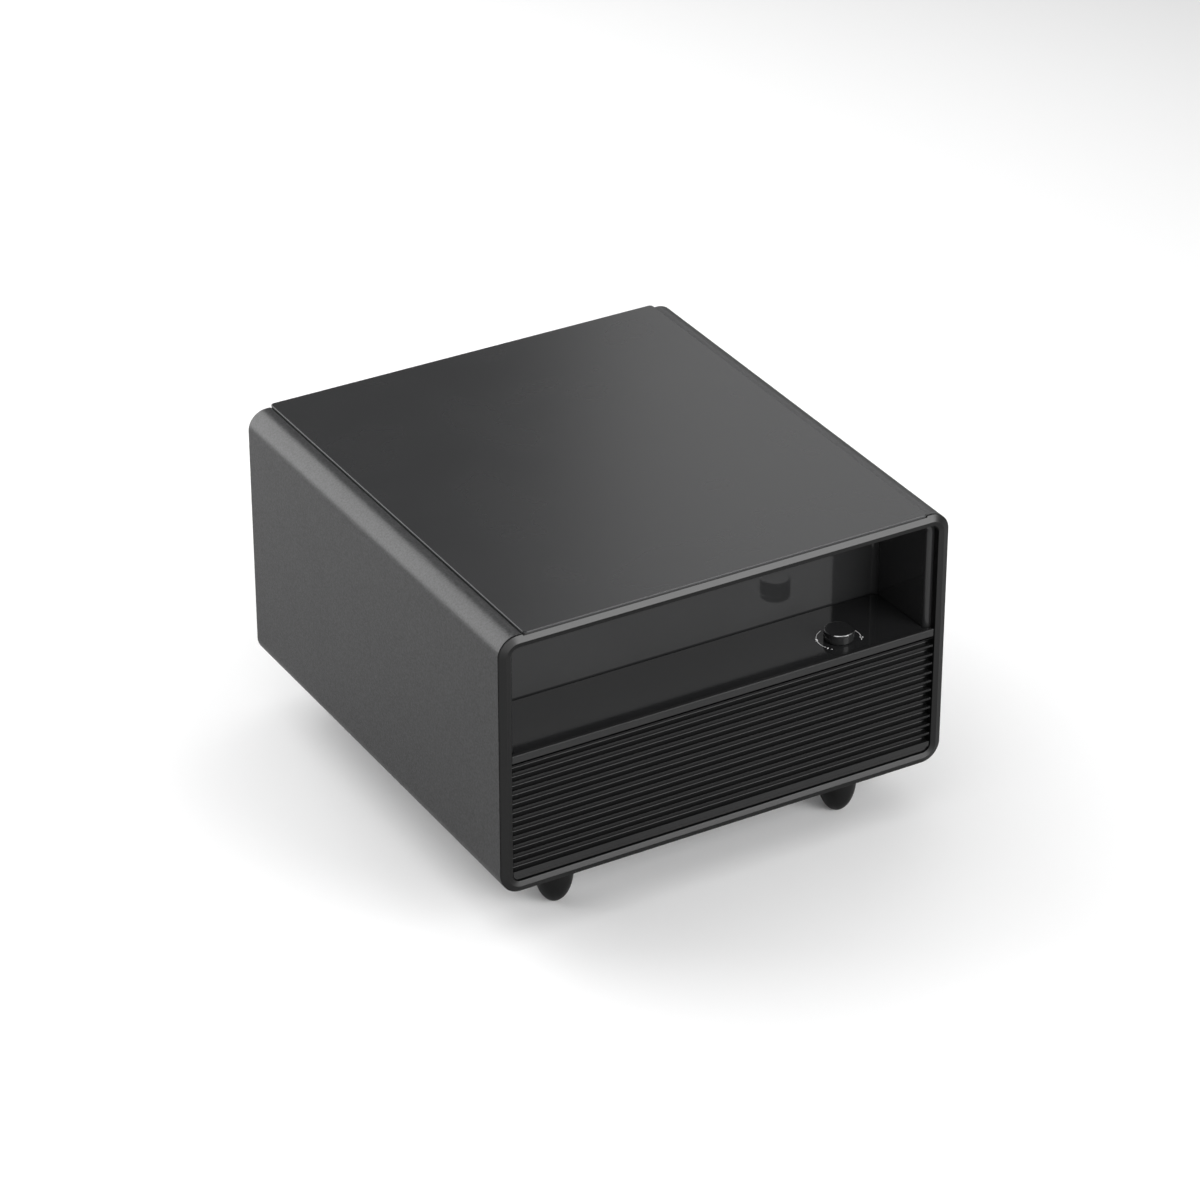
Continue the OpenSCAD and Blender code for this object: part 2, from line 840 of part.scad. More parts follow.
module slide_balls_left() {
    color([0.8, 0.8, 0.82])
        slide_balls();
}

module slide_balls_right() {
    color([0.8, 0.8, 0.82])
        mirror([1, 0, 0])
            slide_balls();
}

module slide_outer_left() {
    color([0.72, 0.73, 0.74])
        slide_outer();
}

module slide_outer_right() {
    color([0.72, 0.73, 0.74])
        mirror([1, 0, 0])
            slide_outer();
}

module slide_mid_left() {
    color([0.65, 0.66, 0.68])
        slide_mid();
}

module slide_mid_right() {
    color([0.65, 0.66, 0.68])
        mirror([1, 0, 0])
            slide_mid();
}

module slide_inner_left() {
    color([0.72, 0.73, 0.74])
        slide_inner();
}

module slide_inner_right() {
    color([0.72, 0.73, 0.74])
        mirror([1, 0, 0])
            slide_inner();
}

// Side view of the ribbed front as Y and Z, from its foot to its upper edge
function rib_points(i) =
    let (z = groove_z0 + i * rib_pitch, top = z + rib_pitch - rib_nose)
    concat(
        [[drawer_y0, z]],
        arc(groove_y - groove_r, z + groove_r, groove_r, -90, 0, 6),
        [[groove_y, top], [drawer_y0, top]]
    );

module front_section() {
    toe_z = groove_z0 - foot_band;
    polygon(concat(
        [[panel_y1, drawer_z0], [drawer_y0 + 2 * toe_set, drawer_z0], [drawer_y0 + toe_set, toe_z],
            [drawer_y0, toe_z + 0.5 * toe_set]],
        [for (i = [0:rib_count - 1]) each rib_points(i)],
        [[drawer_y0, drawer_z1 - band_chamfer], [drawer_y0 + band_chamfer, drawer_z1], [rim_y1, drawer_z1],
            [rim_y1, floor_z0 - 1.5 * slack], [panel_y1, floor_z0 - 1.5 * slack]]
    ));
}

// Front outline of the drawer: square above, rounded below to follow the frame
module drawer_outline(inset) {
    r = corner_r - bar_w - drawer_gap;
    h = drawer_z1 - drawer_z0;
    intersection() {
        translate([0, drawer_z0 + h])
            rounded(2 * drawer_x - 2 * inset, 2 * h - 2 * inset, r);
        translate([-half_w, drawer_z0 - over])
            square([table_w, h + over]);
    }
}

module drawer_front_panel() {
    color([0.17, 0.17, 0.18])
        intersection() {
            translate([-drawer_x, 0, 0])
                rotate([90, 0, 90])
                    linear_extrude(2 * drawer_x)
                        front_section();
            upright(front_y - 2 * ridge_out, front_t)
                drawer_outline(0);
        }
}

module core_outline() {
    low = drawer_z0 + corner_r - bar_w;
    translate([-drawer_x + core_wall, low])
        square([2 * (drawer_x - core_wall), thick_z1 - core_wall - low]);
}

module drawer_front_core() {
    color([0.82, 0.76, 0.55])
        upright(panel_y1, drawer_y1 - inner_t - panel_y1)
            core_outline();
}

module drawer_front_liner() {
    color([0.86, 0.87, 0.88])
        difference() {
            upright(panel_y1, drawer_y1 - panel_y1)
                intersection() {
                    drawer_outline(0.5 * drawer_gap);
                    translate([-half_w, box_z0])
                        square([table_w, thick_z1 - box_z0]);
                }
            upright(panel_y1 - over, drawer_y1 - inner_t - panel_y1 + over)
                core_outline();
        }
}

module drawer_gasket() {
    w = 2 * cold_x + 2 * gasket_w;
    h = cold_z1 - cold_z0 + 2 * gasket_w;
    r = tank_r + gasket_w;
    profile = [
        [-gasket_w + fit, 0], [0, 0], [0, -0.4 * gasket_t], [-0.12 * gasket_w, -gasket_t],
        [-0.88 * gasket_w, -gasket_t], [-gasket_w + fit, -0.4 * gasket_t]
    ];
    color([0.3, 0.3, 0.3])
        translate([0, drawer_y1, (cold_z0 + cold_z1) / 2])
            rotate([90, 0, 0])
                loop_sweep(w, h, r, [for (p = profile) [r + p[0], p[1]]]);
}

module drawer_bin() {
    depth = bin_y1 - drawer_y1;
    h = bin_z1 - bin_z0;
    color([0.88, 0.89, 0.9])
        difference() {
            upright(drawer_y1, depth)
                translate([0, bin_z0 + h])
                    intersection() {
                        rounded(2 * bin_x, 2 * h, bin_r);
                        translate([-bin_x, -h])
                            square([2 * bin_x, h]);
                    }
            upright(drawer_y1 + bin_t, depth - 2 * bin_t)
                translate([0, bin_z0 + h])
                    rounded(2 * (bin_x - bin_t), 2 * (h - bin_t), bin_r - bin_t);
        }
}

// Compressor: welded shell with domed ends on a foot plate
module compressor() {
    r = comp_d / 2;
    dome = 0.22 * comp_h;
    n = 12;
    color([0.08, 0.08, 0.09])
        translate([comp_x, comp_y, comp_z0]) {
            rotate_extrude($fn = 72)
                polygon(concat(
                    [[0, 0], [0.7 * r, 0]],
                    [for (i = [0:n]) [r * (0.7 + 0.3 * sin(90 * i / n)), 0.5 * dome * (1 - cos(90 * i / n))]],
                    [[r, 0.5 * comp_h], [r + 0.03 * comp_d, 0.5 * comp_h],
                        [r + 0.03 * comp_d, 0.5 * comp_h + 0.02 * comp_h], [r, 0.52 * comp_h]],
                    [for (i = [0:n]) [r * cos(90 * i / n), comp_h - dome + dome * sin(90 * i / n)]]
                ));
            translate([r - 0.08 * comp_d, -0.1 * comp_d, 0.3 * comp_h])
                cube([0.2 * comp_d, 0.2 * comp_d, 0.3 * comp_h]);
            translate([0, 0, comp_h - dome])
                cylinder(h = dome + stub_l, r = stub_r, $fn = 32);
            translate([0, -r + stub_r, slide_zc - comp_z0])
                rotate([90, 0, 0])
                    cylinder(h = stub_r + stub_l, r = stub_r, $fn = 32);
        }
}

module comp_corners() {
    for (sx = [-1, 1], sy = [-1, 1])
        translate([comp_x + sx * 0.5 * comp_d, comp_y + sy * 0.4 * comp_d, 0])
            children();
}

module compressor_base() {
    color([0.1, 0.1, 0.1])
        difference() {
            translate([comp_x, comp_y, comp_z0 - comp_plate_t])
                linear_extrude(comp_plate_t)
                    rounded(comp_d + 2 * plate_pad, 0.8 * comp_d + 2 * plate_pad, plate_pad);
            comp_corners()
                translate([0, 0, comp_z0 - comp_plate_t - over])
                    cylinder(h = comp_plate_t + 2 * over, r = neck_r + run_fit, $fn = 24);
        }
}

module compressor_grommets() {
    color([0.05, 0.05, 0.05])
        comp_corners()
            translate([0, 0, pan_z1])
                rotate_extrude($fn = 32)
                    polygon([
                        [0, 0], [grommet_r, 0], [grommet_r, 0.2 * grommet_h],
                        [0.75 * grommet_r, 0.35 * grommet_h], [0.75 * grommet_r, 0.65 * grommet_h],
                        [grommet_r, 0.8 * grommet_h], [grommet_r, grommet_h], [neck_r, grommet_h],
                        [neck_r, grommet_h + comp_plate_t], [1.6 * neck_r, grommet_h + comp_plate_t],
                        [1.2 * neck_r, grommet_h + 2 * comp_plate_t], [0, grommet_h + 2 * comp_plate_t]
                    ]);
}

// Condenser: four runs of tube, joined by bends, through a pack of fins
function coil_z(i) = fan_zc + (i - (coil_rows - 1) / 2) * coil_step;
coil_y = comp_y;
coil_x1 = fan_x + coil_l / 2;

module coil_runs(r) {
    for (i = [0:coil_rows - 1])
        translate([fan_x - coil_l / 2, coil_y, coil_z(i)])
            rotate([0, 90, 0])
                cylinder(h = coil_l, r = r, $fn = 32);
}

module condenser_coil() {
    color([0.7, 0.42, 0.28]) {
        coil_runs(coil_d / 2);
        for (i = [0:coil_rows - 2])
            translate([fan_x + (i % 2 == 0 ? -1 : 1) * coil_l / 2, coil_y, coil_z(i) + coil_step / 2])
                rotate([90, 0, 0])
                    rotate([0, 0, i % 2 == 0 ? 90 : -90])
                        rotate_extrude(angle = 180)
                            translate([coil_step / 2, 0])
                                circle(coil_d / 2, $fn = 32);
    }
}

module condenser_fins() {
    span = coil_l - 2 * coil_d;
    color([0.78, 0.79, 0.8])
        difference() {
            for (i = [0:fin_count - 1])
                translate([fan_x - span / 2 + i * (span - fin_t) / (fin_count - 1), fin_y0, pan_z1])
                    cube([fin_t, fin_d, fan_w - coil_d]);
            coil_runs(coil_d / 2 + run_fit);
        }
}

module fan_housing() {
    r = fan_w / 2 - fan_wall;
    color([0.06, 0.06, 0.06])
        difference() {
            union() {
                difference() {
                    upright(fan_y0, fan_t)
                        translate([fan_x, fan_zc])
                            rounded(fan_w, fan_w, fan_corner_r);
                    upright(fan_y0 - over, fan_t + 2 * over)
                        translate([fan_x, fan_zc])
                            circle(r);
                }
                upright(fan_y0, strut_t)
                    translate([fan_x, fan_zc])
                        circle(hub_d / 2);
                upright(fan_y0, strut_t)
                    translate([fan_x, fan_zc])
                        for (a = [45, 135])
                            rotate(a)
                                square([2 * r + fan_wall, strut_w], center = true);
            }
            upright(fan_y0 - over, strut_t + 2 * over)
                translate([fan_x, fan_zc])
                    circle(pin_d / 2);
        }
}

module fan_motor() {
    color([0.5, 0.5, 0.52])
        translate([fan_x, fan_y0 + strut_t, fan_zc])
            rotate([-90, 0, 0]) {
                cylinder(h = motor_l, r = 0.36 * hub_d, $fn = 48);
                translate([0, 0, -strut_t])
                    cylinder(h = fan_t - strut_t, r = pin_d / 2, $fn = 32);
            }
}

module fan_rotor() {
    r = fan_w / 2 - fan_wall - slack;
    deep = fan_t - 2 * strut_t;
    color([0.1, 0.1, 0.1])
        translate([fan_x, fan_y0 + strut_t + slack, fan_zc])
            rotate([-90, 0, 0])
                difference() {
                    union() {
                        difference() {
                            cylinder(h = deep, r = hub_d / 2, $fn = 64);
                            translate([0, 0, -over])
                                cylinder(h = deep - hub_face + over, r = hub_d / 2 - hub_wall, $fn = 64);
                        }
                        for (i = [0:blade_count - 1])
                            rotate([0, 0, i * 360 / blade_count])
                                intersection() {
                                    translate([hub_d / 2 - 0.5 * hub_wall, 0, deep / 2])
                                        rotate([38, 0, 0])
                                            translate([0, -deep, -blade_t / 2])
                                                cube([r, 2 * deep, blade_t]);
                                    difference() {
                                        translate([0, 0, 0.05 * deep])
                                            cylinder(h = 0.9 * deep, r = r, $fn = 96);
                                        translate([0, 0, -over])
                                            cylinder(h = deep + 2 * over, r = hub_d / 2 - 0.5 * hub_wall, $fn = 64);
                                    }
                                }
                    }
                    translate([0, 0, -over])
                        cylinder(h = deep + 2 * over, r = pin_d / 2 + run_fit);
                }
}

// Straight pipe along one axis and a quarter bend
module pipe_x(x0, x1, y, z, r) {
    translate([min(x0, x1), y, z])
        rotate([0, 90, 0])
            cylinder(h = abs(x1 - x0), r = r, $fn = 32);
}

module pipe_y(x, y0, y1, z, r) {
    translate([x, max(y0, y1), z])
        rotate([90, 0, 0])
            cylinder(h = abs(y1 - y0), r = r, $fn = 32);
}

module pipe_z(x, y, z0, z1, r) {
    translate([x, y, min(z0, z1)])
        cylinder(h = abs(z1 - z0), r = r, $fn = 32);
}

// From the compressor's crown to the condenser's highest run
module discharge_line() {
    r = coil_d / 2;
    z_top = comp_z0 + comp_h + stub_l;
    z_run = z_top + bend_r + 2;
    z_in = coil_z(coil_rows - 1);
    x_end = coil_x1 + bend_r;
    color([0.7, 0.42, 0.28]) {
        pipe_z(comp_x, comp_y, z_top, z_run - bend_r, r);
        translate([comp_x - bend_r, comp_y, z_run - bend_r])
            rotate([90, 0, 0])
                rotate_extrude(angle = 90)
                    translate([bend_r, 0])
                        circle(r, $fn = 32);
        pipe_x(comp_x - bend_r, x_end + bend_r, comp_y, z_run, r);
        translate([x_end + bend_r, comp_y, z_run - bend_r])
            rotate([90, 0, 0])
                rotate([0, 0, 90])
                    rotate_extrude(angle = 90)
                        translate([bend_r, 0])
                            circle(r, $fn = 32);
        pipe_z(x_end, comp_y, z_run - bend_r, z_in + bend_r, r);
        translate([coil_x1, comp_y, z_in + bend_r])
            rotate([90, 0, 0])
                rotate([0, 0, -90])
                    rotate_extrude(angle = 90)
                        translate([bend_r, 0])
                            circle(r, $fn = 32);
    }
}

module suction_line() {
    color([0.7, 0.42, 0.28])
        pipe_y(comp_x, cold_y1, comp_y - comp_d / 2 - stub_l, slide_zc, coil_d / 2);
}

// Drier on the condenser's lowest run and the capillary that leaves it
drier_clear = 30;
drier_l = comp_x - comp_d / 2 - coil_x1 - bend_r - drier_clear;
capillary_r = 1.5;

module filter_drier() {
    r = 9;
    color([0.72, 0.45, 0.3])
        translate([coil_x1, coil_y, coil_z(0)])
            rotate([0, 90, 0])
                rotate_extrude($fn = 40)
                    polygon([[0, 0], [coil_d / 2, 0], [coil_d / 2, 0.1 * drier_l], [r, 0.2 * drier_l],
                        [r, 0.8 * drier_l], [coil_d / 2, 0.9 * drier_l], [coil_d / 2, drier_l],
                        [0, drier_l]]);
}

module liquid_line() {
    x = coil_x1 + drier_l;
    color([0.7, 0.42, 0.28]) {
        translate([x, coil_y - bend_r, coil_z(0)])
            rotate_extrude(angle = 90)
                translate([bend_r, 0])
                    circle(capillary_r, $fn = 24);
        pipe_y(x + bend_r, foam_y1, coil_y - bend_r, coil_z(0), capillary_r);
    }
}

// Control electronics on top of the insulation, behind the niche
box_w = 170;
box_d = 120;
box_h = 32;
box_t = 2;
box_corner_r = 6;
box_share = -0.46;
box_back = 110;
post_h = 6;
post_r = 3;
post_in = 14;
board_t = 1.6;
board_in = 8;
relay_w = 32;
relay_h = 20;
chip_w = 22;
chip_h = 8;
cap_r = 8;
cap_h = 18;
cap_step = 24;

module control_place() {
    translate([box_share * half_w, niche_y1 + box_back + box_d, shelf_z0])
        children();
}

module control_box() {
    color([0.2, 0.2, 0.21])
        control_place()
            difference() {
                linear_extrude(box_h)
                    rounded(box_w, box_d, box_corner_r);
                translate([0, 0, box_t])
                    linear_extrude(box_h)
                        rounded(box_w - 2 * box_t, box_d - 2 * box_t, box_corner_r - box_t);
            }
}

module control_board() {
    color([0.1, 0.35, 0.2])
        control_place()
            translate([0, 0, box_t]) {
                for (sx = [-1, 1], sy = [-1, 1])
                    translate([sx * (box_w / 2 - post_in), sy * (box_d / 2 - post_in), 0])
                        cylinder(h = post_h, r = post_r, $fn = 24);
                translate([0, 0, post_h])
                    linear_extrude(board_t)
                        rounded(box_w - 2 * board_in, box_d - 2 * board_in, board_t);
                translate([-box_w / 4 - relay_w / 2, -relay_w / 2, post_h])
                    cube([relay_w, relay_w, relay_h]);
                translate([-chip_w / 2, box_d / 12, post_h])
                    cube([chip_w, chip_w, chip_h]);
                for (i = [-1:1])
                    translate([box_w / 4, i * cap_step, post_h])
                        cylinder(h = cap_h, r = cap_r, $fn = 32);
            }
}

// Mains inlet in the rear panel
inlet_side = 51;
inlet_x = inlet_side - half_w;
inlet_z = 60;
inlet_w = 28;
inlet_h = 20;
inlet_d = 26;
flange_w = 48;
flange_h = 24;
flange_t = 2.4;
inlet_wall = 2;
inlet_floor = 3;
pin_step = 7;
pin_w = 2;
pin_h = 4;
pin_l = 17;

module inlet_place() {
    translate([inlet_x, back_y, box_z0 + inlet_z])
        children();
}

module power_inlet() {
    clear = 0.5 * fit;
    color([0.05, 0.05, 0.05])
        inlet_place()
            difference() {
                union() {
                    translate([0, flange_t / 2, 0])
                        cube([flange_w, flange_t, flange_h], center = true);
                    translate([0, flange_t - inlet_d / 2, 0])
                        cube([inlet_w - 2 * clear, inlet_d, inlet_h - 2 * clear], center = true);
                }
                translate([-inlet_w / 2 + inlet_wall, flange_t - inlet_d + inlet_floor,
                    -inlet_h / 2 + inlet_wall])
                    cube([inlet_w - 2 * inlet_wall, inlet_d, inlet_h - 2 * inlet_wall]);
            }
}

module inlet_pins() {
    color([0.75, 0.7, 0.5])
        inlet_place()
            for (i = [-1:1])
                translate([i * pin_step - pin_w / 2, flange_t - inlet_d + inlet_floor,
                    i == 0 ? 0.25 * pin_h : -0.75 * pin_h])
                    cube([pin_w, pin_l, pin_h]);
}

// Feet: solids of revolution whose lower part is half an ellipse cut flat
stud_d = 8;
stud_up = 8;
stud_down = 24;
nut_h = 6.5;
nut_r = 7.5;

module foot_places() {
    for (sx = [-1, 1], sy = [-1, 1])
        translate([sx * (half_w - foot_side), sy * (table_d / 2 - foot_end), 0])
            children();
}

module foot(sx, sy) {
    n = 16;
    full_share = sqrt(1 - pow(foot_flat_r / foot_r, 2));
    drop = (foot_h - foot_straight) / full_share;
    a1 = asin(full_share);
    color([0.07, 0.07, 0.07])
        translate([sx * (half_w - foot_side), sy * (table_d / 2 - foot_end), 0])
            difference() {
                rotate_extrude($fn = 72)
                    polygon(concat(
                        [[0, 0]],
                        [for (i = [0:n]) let (a = a1 * (1 - i / n))
                            [foot_r * cos(a), foot_h - foot_straight - drop * sin(a)]],
                        [[foot_r, foot_h + sheet_t], [0, foot_h + sheet_t]]
                    ));
                translate([0, 0, foot_h + sheet_t - stud_down - over])
                    cylinder(h = stud_down + 2 * over, r = stud_d / 2 + run_fit);
            }
}

module foot_front_left() {
    foot(-1, -1);
}

module foot_front_right() {
    foot(1, -1);
}

module foot_rear_left() {
    foot(-1, 1);
}

module foot_rear_right() {
    foot(1, 1);
}

module foot_studs() {
    color([0.7, 0.7, 0.72])
        foot_places()
            translate([0, 0, foot_h + sheet_t - stud_down])
                cylinder(h = stud_down + stud_up, r = stud_d / 2);
}

module foot_nuts() {
    color([0.7, 0.7, 0.72])
        foot_places()
            translate([0, 0, pan_z1])
                difference() {
                    cylinder(h = nut_h, r = nut_r, $fn = 6);
                    translate([0, 0, -over])
                        cylinder(h = nut_h + 2 * over, r = stud_d / 2 + run_fit);
                }
}

side_shell_left();
side_shell_right();
front_frame();
glass_top();
top_panel();
base_pan();
rear_panel();
rear_panel_screws();
niche_liner();
niche_floor_glass();
niche_shelf();
knob_encoder();
knob_cap();
knob_disc();
knob_shaft();
cold_tank();
cabinet_insulation();
cold_front_trim();
evaporator_plate();
slide_outer_left();
slide_outer_right();
slide_mid_left();
slide_mid_right();
slide_balls_left();
slide_balls_right();
slide_inner_left();
slide_inner_right();
drawer_front_panel();
drawer_front_core();
drawer_front_liner();
drawer_gasket();
drawer_bin();
compressor();
compressor_base();
compressor_grommets();
condenser_coil();
condenser_fins();
fan_housing();
fan_motor();
fan_rotor();
discharge_line();
suction_line();
filter_drier();
liquid_line();
control_box();
control_board();
power_inlet();
inlet_pins();
foot_front_left();
foot_front_right();
foot_rear_left();
foot_rear_right();
foot_studs();
foot_nuts();
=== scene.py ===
import json
import math

import bmesh
import bpy
from mathutils import Matrix, Vector


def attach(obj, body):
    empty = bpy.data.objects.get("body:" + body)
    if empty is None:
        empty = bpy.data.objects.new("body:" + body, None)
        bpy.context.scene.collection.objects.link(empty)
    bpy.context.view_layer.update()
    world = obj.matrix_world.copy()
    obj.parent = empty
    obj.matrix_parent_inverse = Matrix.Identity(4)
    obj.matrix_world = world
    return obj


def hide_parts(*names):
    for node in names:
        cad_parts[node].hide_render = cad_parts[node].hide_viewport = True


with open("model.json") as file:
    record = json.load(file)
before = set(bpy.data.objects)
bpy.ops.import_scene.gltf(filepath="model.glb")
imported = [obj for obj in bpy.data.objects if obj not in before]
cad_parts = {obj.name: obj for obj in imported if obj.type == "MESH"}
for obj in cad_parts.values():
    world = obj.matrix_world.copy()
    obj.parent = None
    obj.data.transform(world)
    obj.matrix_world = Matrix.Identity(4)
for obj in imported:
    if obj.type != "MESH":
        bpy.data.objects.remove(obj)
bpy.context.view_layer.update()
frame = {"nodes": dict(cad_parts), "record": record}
mm = 0.001

# Sizes that several pieces share, in millimetres
table = {
    "width": 650, "depth": 678, "cabinetHeight": 368, "footHeight": 79,
    "cornerRadius": 27, "sheet": 1.2, "shoulder": 33.5, "shadowGap": 1.8,
}
halfWidth = table["width"] / 2
frontY = -table["depth"] / 2
backY = table["depth"] / 2
boxLow = table["footHeight"]
boxHigh = boxLow + table["cabinetHeight"]
shellFront = frontY + 1 + table["shadowGap"]
openX = halfWidth - 15.7
lipY = frontY + 8


# Mesh helpers

mergeDistance = 0.004 * mm


def finishMesh(obj, smooth=30, outward=True):
    mesh = obj.data
    bm = bmesh.new()
    bm.from_mesh(mesh)
    bmesh.ops.remove_doubles(bm, verts=bm.verts, dist=mergeDistance)
    if outward:
        bmesh.ops.recalc_face_normals(bm, faces=bm.faces)
    bm.to_mesh(mesh)
    bm.free()
    mesh.shade_smooth()
    mesh.set_sharp_from_angle(angle=math.radians(smooth))
    return obj


def meshObject(name, verts, faces, smooth=30, outward=True):
    mesh = bpy.data.meshes.new(name)
    mesh.from_pydata([(x * mm, y * mm, z * mm) for x, y, z in verts], [], faces)
    obj = bpy.data.objects.new(name, mesh)
    bpy.context.scene.collection.objects.link(obj)
    return finishMesh(obj, smooth, outward=outward)


def loft(rings, ringClosed=True, loop=False, caps=True):
    count = len(rings[0])
    verts = [p for ring in rings for p in ring]
    faces = []
    for j in range(len(rings) if loop else len(rings) - 1):
        a = j * count
        b = ((j + 1) % len(rings)) * count
        for i in range(count if ringClosed else count - 1):
            k = (i + 1) % count
            faces.append((a + i, a + k, b + k, b + i))
    if caps and not loop:
        faces.append(tuple(range(count))[::-1])
        faces.append(tuple(range((len(rings) - 1) * count, len(rings) * count)))
    return verts, faces


def lathe(profile, centre, turns=96, lift=0):
    # profile runs from axis to axis as radius and height
    rings = []
    for k in range(turns):
        a = 2 * math.pi * k / turns
        dx, dy = math.cos(a), math.sin(a)
        rings.append([(centre[0] + r * dx, centre[1] + r * dy, lift + z) for r, z in profile])
    return loft(rings, ringClosed=False, loop=True)


def arc(cx, cy, r, start, end, steps):
    out = []
    for i in range(steps + 1):
        a = math.radians(start + (end - start) * i / steps)
        out.append((cx + r * math.cos(a), cy + r * math.sin(a)))
    return out


def roundedPolygon(points, radius, steps=3):
    # rounds each corner of a closed polygon; radius may be one number or one per corner
    out = []
    n = len(points)
    for i, p in enumerate(points):
        r = radius[i] if isinstance(radius, (list, tuple)) else radius
        before = Vector(points[i - 1]) - Vector(p)
        after = Vector(points[(i + 1) % n]) - Vector(p)
        if r <= 0 or before.length < 1e-6 or after.length < 1e-6:
            out.append(tuple(p))
            continue
        half = before.angle(after) / 2
        cut = min(r / max(math.tan(half), 1e-4), 0.45 * before.length, 0.45 * after.length)
        a = Vector(p) + before.normalized() * cut
        b = Vector(p) + after.normalized() * cut
        for s in range(steps + 1):
            t = s / steps
            q = a * (1 - t) ** 2 + Vector(p) * 2 * t * (1 - t) + b * t ** 2
            out.append((q.x, q.y))
    return out


def applyModifiers(obj):
    graph = bpy.context.evaluated_depsgraph_get()
    mesh = bpy.data.meshes.new_from_object(obj.evaluated_get(graph))
    obj.modifiers.clear()
    old = obj.data
    obj.data = mesh
    bpy.data.meshes.remove(old)
    return obj


def smoothSides(obj, smooth=30):
    obj.data.shade_smooth()
    obj.data.set_sharp_from_angle(angle=math.radians(smooth))
    return obj


def bevelEdges(obj, width, segments):
    mod = obj.modifiers.new("edges", "BEVEL")
    mod.width = width * mm
    mod.segments = segments
    mod.limit_method = "ANGLE"
    mod.angle_limit = math.radians(50)
    return smoothSides(applyModifiers(obj))


def cutBy(obj, cutter, operation="DIFFERENCE", smooth=30):
    mod = obj.modifiers.new("cut", "BOOLEAN")
    mod.operation = operation
    mod.solver = "EXACT"
    mod.object = cutter
    applyModifiers(obj)
    bpy.data.objects.remove(cutter)
    return finishMesh(obj, smooth)


def boxObject(name, low, high):
    (x0, y0, z0), (x1, y1, z1) = low, high
    verts = [(x, y, z) for x in (x0, x1) for y in (y0, y1) for z in (z0, z1)]
    faces = [(0, 1, 3, 2), (4, 6, 7, 5), (0, 4, 5, 1), (2, 3, 7, 6), (0, 2, 6, 4), (1, 5, 7, 3)]
    return meshObject(name, verts, faces)


def joined(name, objects):
    bm = bmesh.new()
    for o in objects:
        bm.from_mesh(o.data)
        bpy.data.objects.remove(o)
    mesh = bpy.data.meshes.new(name)
    bm.to_mesh(mesh)
    bm.free()
    obj = bpy.data.objects.new(name, mesh)
    bpy.context.scene.collection.objects.link(obj)
    return smoothSides(obj)


def prism(name, outline, axis, low, high, smooth=30):
    # outline is drawn in the two axes other than the one it is pushed along
    def point(p, t):
        return {"x": (t, p[0], p[1]), "y": (p[0], t, p[1]), "z": (p[0], p[1], t)}[axis]
    rings = [[point(p, t) for p in outline] for t in (low, high)]
    return meshObject(name, *loft(rings), smooth=smooth)


# Materials: every finish is built from nodes on object coordinates

def newMaterial(name, **sockets):
    mat = bpy.data.materials.new(name)
    mat.use_nodes = True
    shader = mat.node_tree.nodes["Principled BSDF"]
    for key, value in sockets.items():
        shader.inputs[key.replace("_", " ")].default_value = value
    return mat, mat.node_tree, shader


def noiseNode(tree, scale, detail=2, stretch=(1, 1, 1)):
    nodes, links = tree.nodes, tree.links
    coord = nodes.new("ShaderNodeTexCoord")
    mapping = nodes.new("ShaderNodeMapping")
    mapping.inputs["Scale"].default_value = stretch
    noise = nodes.new("ShaderNodeTexNoise")
    noise.inputs["Scale"].default_value = scale
    noise.inputs["Detail"].default_value = detail
    links.new(coord.outputs["Object"], mapping.inputs["Vector"])
    links.new(mapping.outputs["Vector"], noise.inputs["Vector"])
    return noise


def colourFrom(tree, noise, shader, value, tint, share, low=0.35, high=0.65):
    # the colour runs from a share below its value to the same share above it
    ramp = tree.nodes.new("ShaderNodeValToRGB")
    for stop, position, sign in zip(ramp.color_ramp.elements, (low, high), (-1, 1)):
        stop.position = position
        stop.color = (*grey(value * (1 + sign * share), tint), 1)
    tree.links.new(noise.outputs["Fac"], ramp.inputs["Fac"])
    tree.links.new(ramp.outputs["Color"], shader.inputs["Base Color"])


def roughnessFrom(tree, noise, shader, low, high):
    span = tree.nodes.new("ShaderNodeMapRange")
    span.inputs["To Min"].default_value = low
    span.inputs["To Max"].default_value = high
    tree.links.new(noise.outputs["Fac"], span.inputs["Value"])
    tree.links.new(span.outputs["Result"], shader.inputs["Roughness"])


def bumpFrom(tree, shader, noises, strength, distance):
    bump = tree.nodes.new("ShaderNodeBump")
    bump.inputs["Strength"].default_value = strength
    bump.inputs["Distance"].default_value = distance * mm
    if len(noises) == 2:
        add = tree.nodes.new("ShaderNodeMath")
        add.operation = "ADD"
        tree.links.new(noises[0].outputs["Fac"], add.inputs[0])
        tree.links.new(noises[1].outputs["Fac"], add.inputs[1])
        tree.links.new(add.outputs["Value"], bump.inputs["Height"])
    else:
        tree.links.new(noises[0].outputs["Fac"], bump.inputs["Height"])
    tree.links.new(bump.outputs["Normal"], shader.inputs["Normal"])


def grey(v, tint=0.0):
    return (v, v * (1 + 0.3 * tint), v * (1 + tint))


coat = {"fineRatio": 3.1, "cloudScale": 9}


def coatedFinish(name, value, tint, rough, grain, depth, spread=0.06, strength=0.5, speckle=0.0, **sockets):
    mat, tree, shader = newMaterial(name, **sockets)
    coarse = noiseNode(tree, grain, 2)
    fine = noiseNode(tree, grain * coat["fineRatio"], 1)
    cloud = noiseNode(tree, coat["cloudScale"], 3)
    # a speckled finish varies its colour grain by grain, a plain one only in wide soft clouds
    colourFrom(tree, coarse if speckle else cloud, shader, value, tint, speckle or spread)
    roughnessFrom(tree, cloud, shader, *rough)
    bumpFrom(tree, shader, [coarse, fine], strength, depth)
    return mat


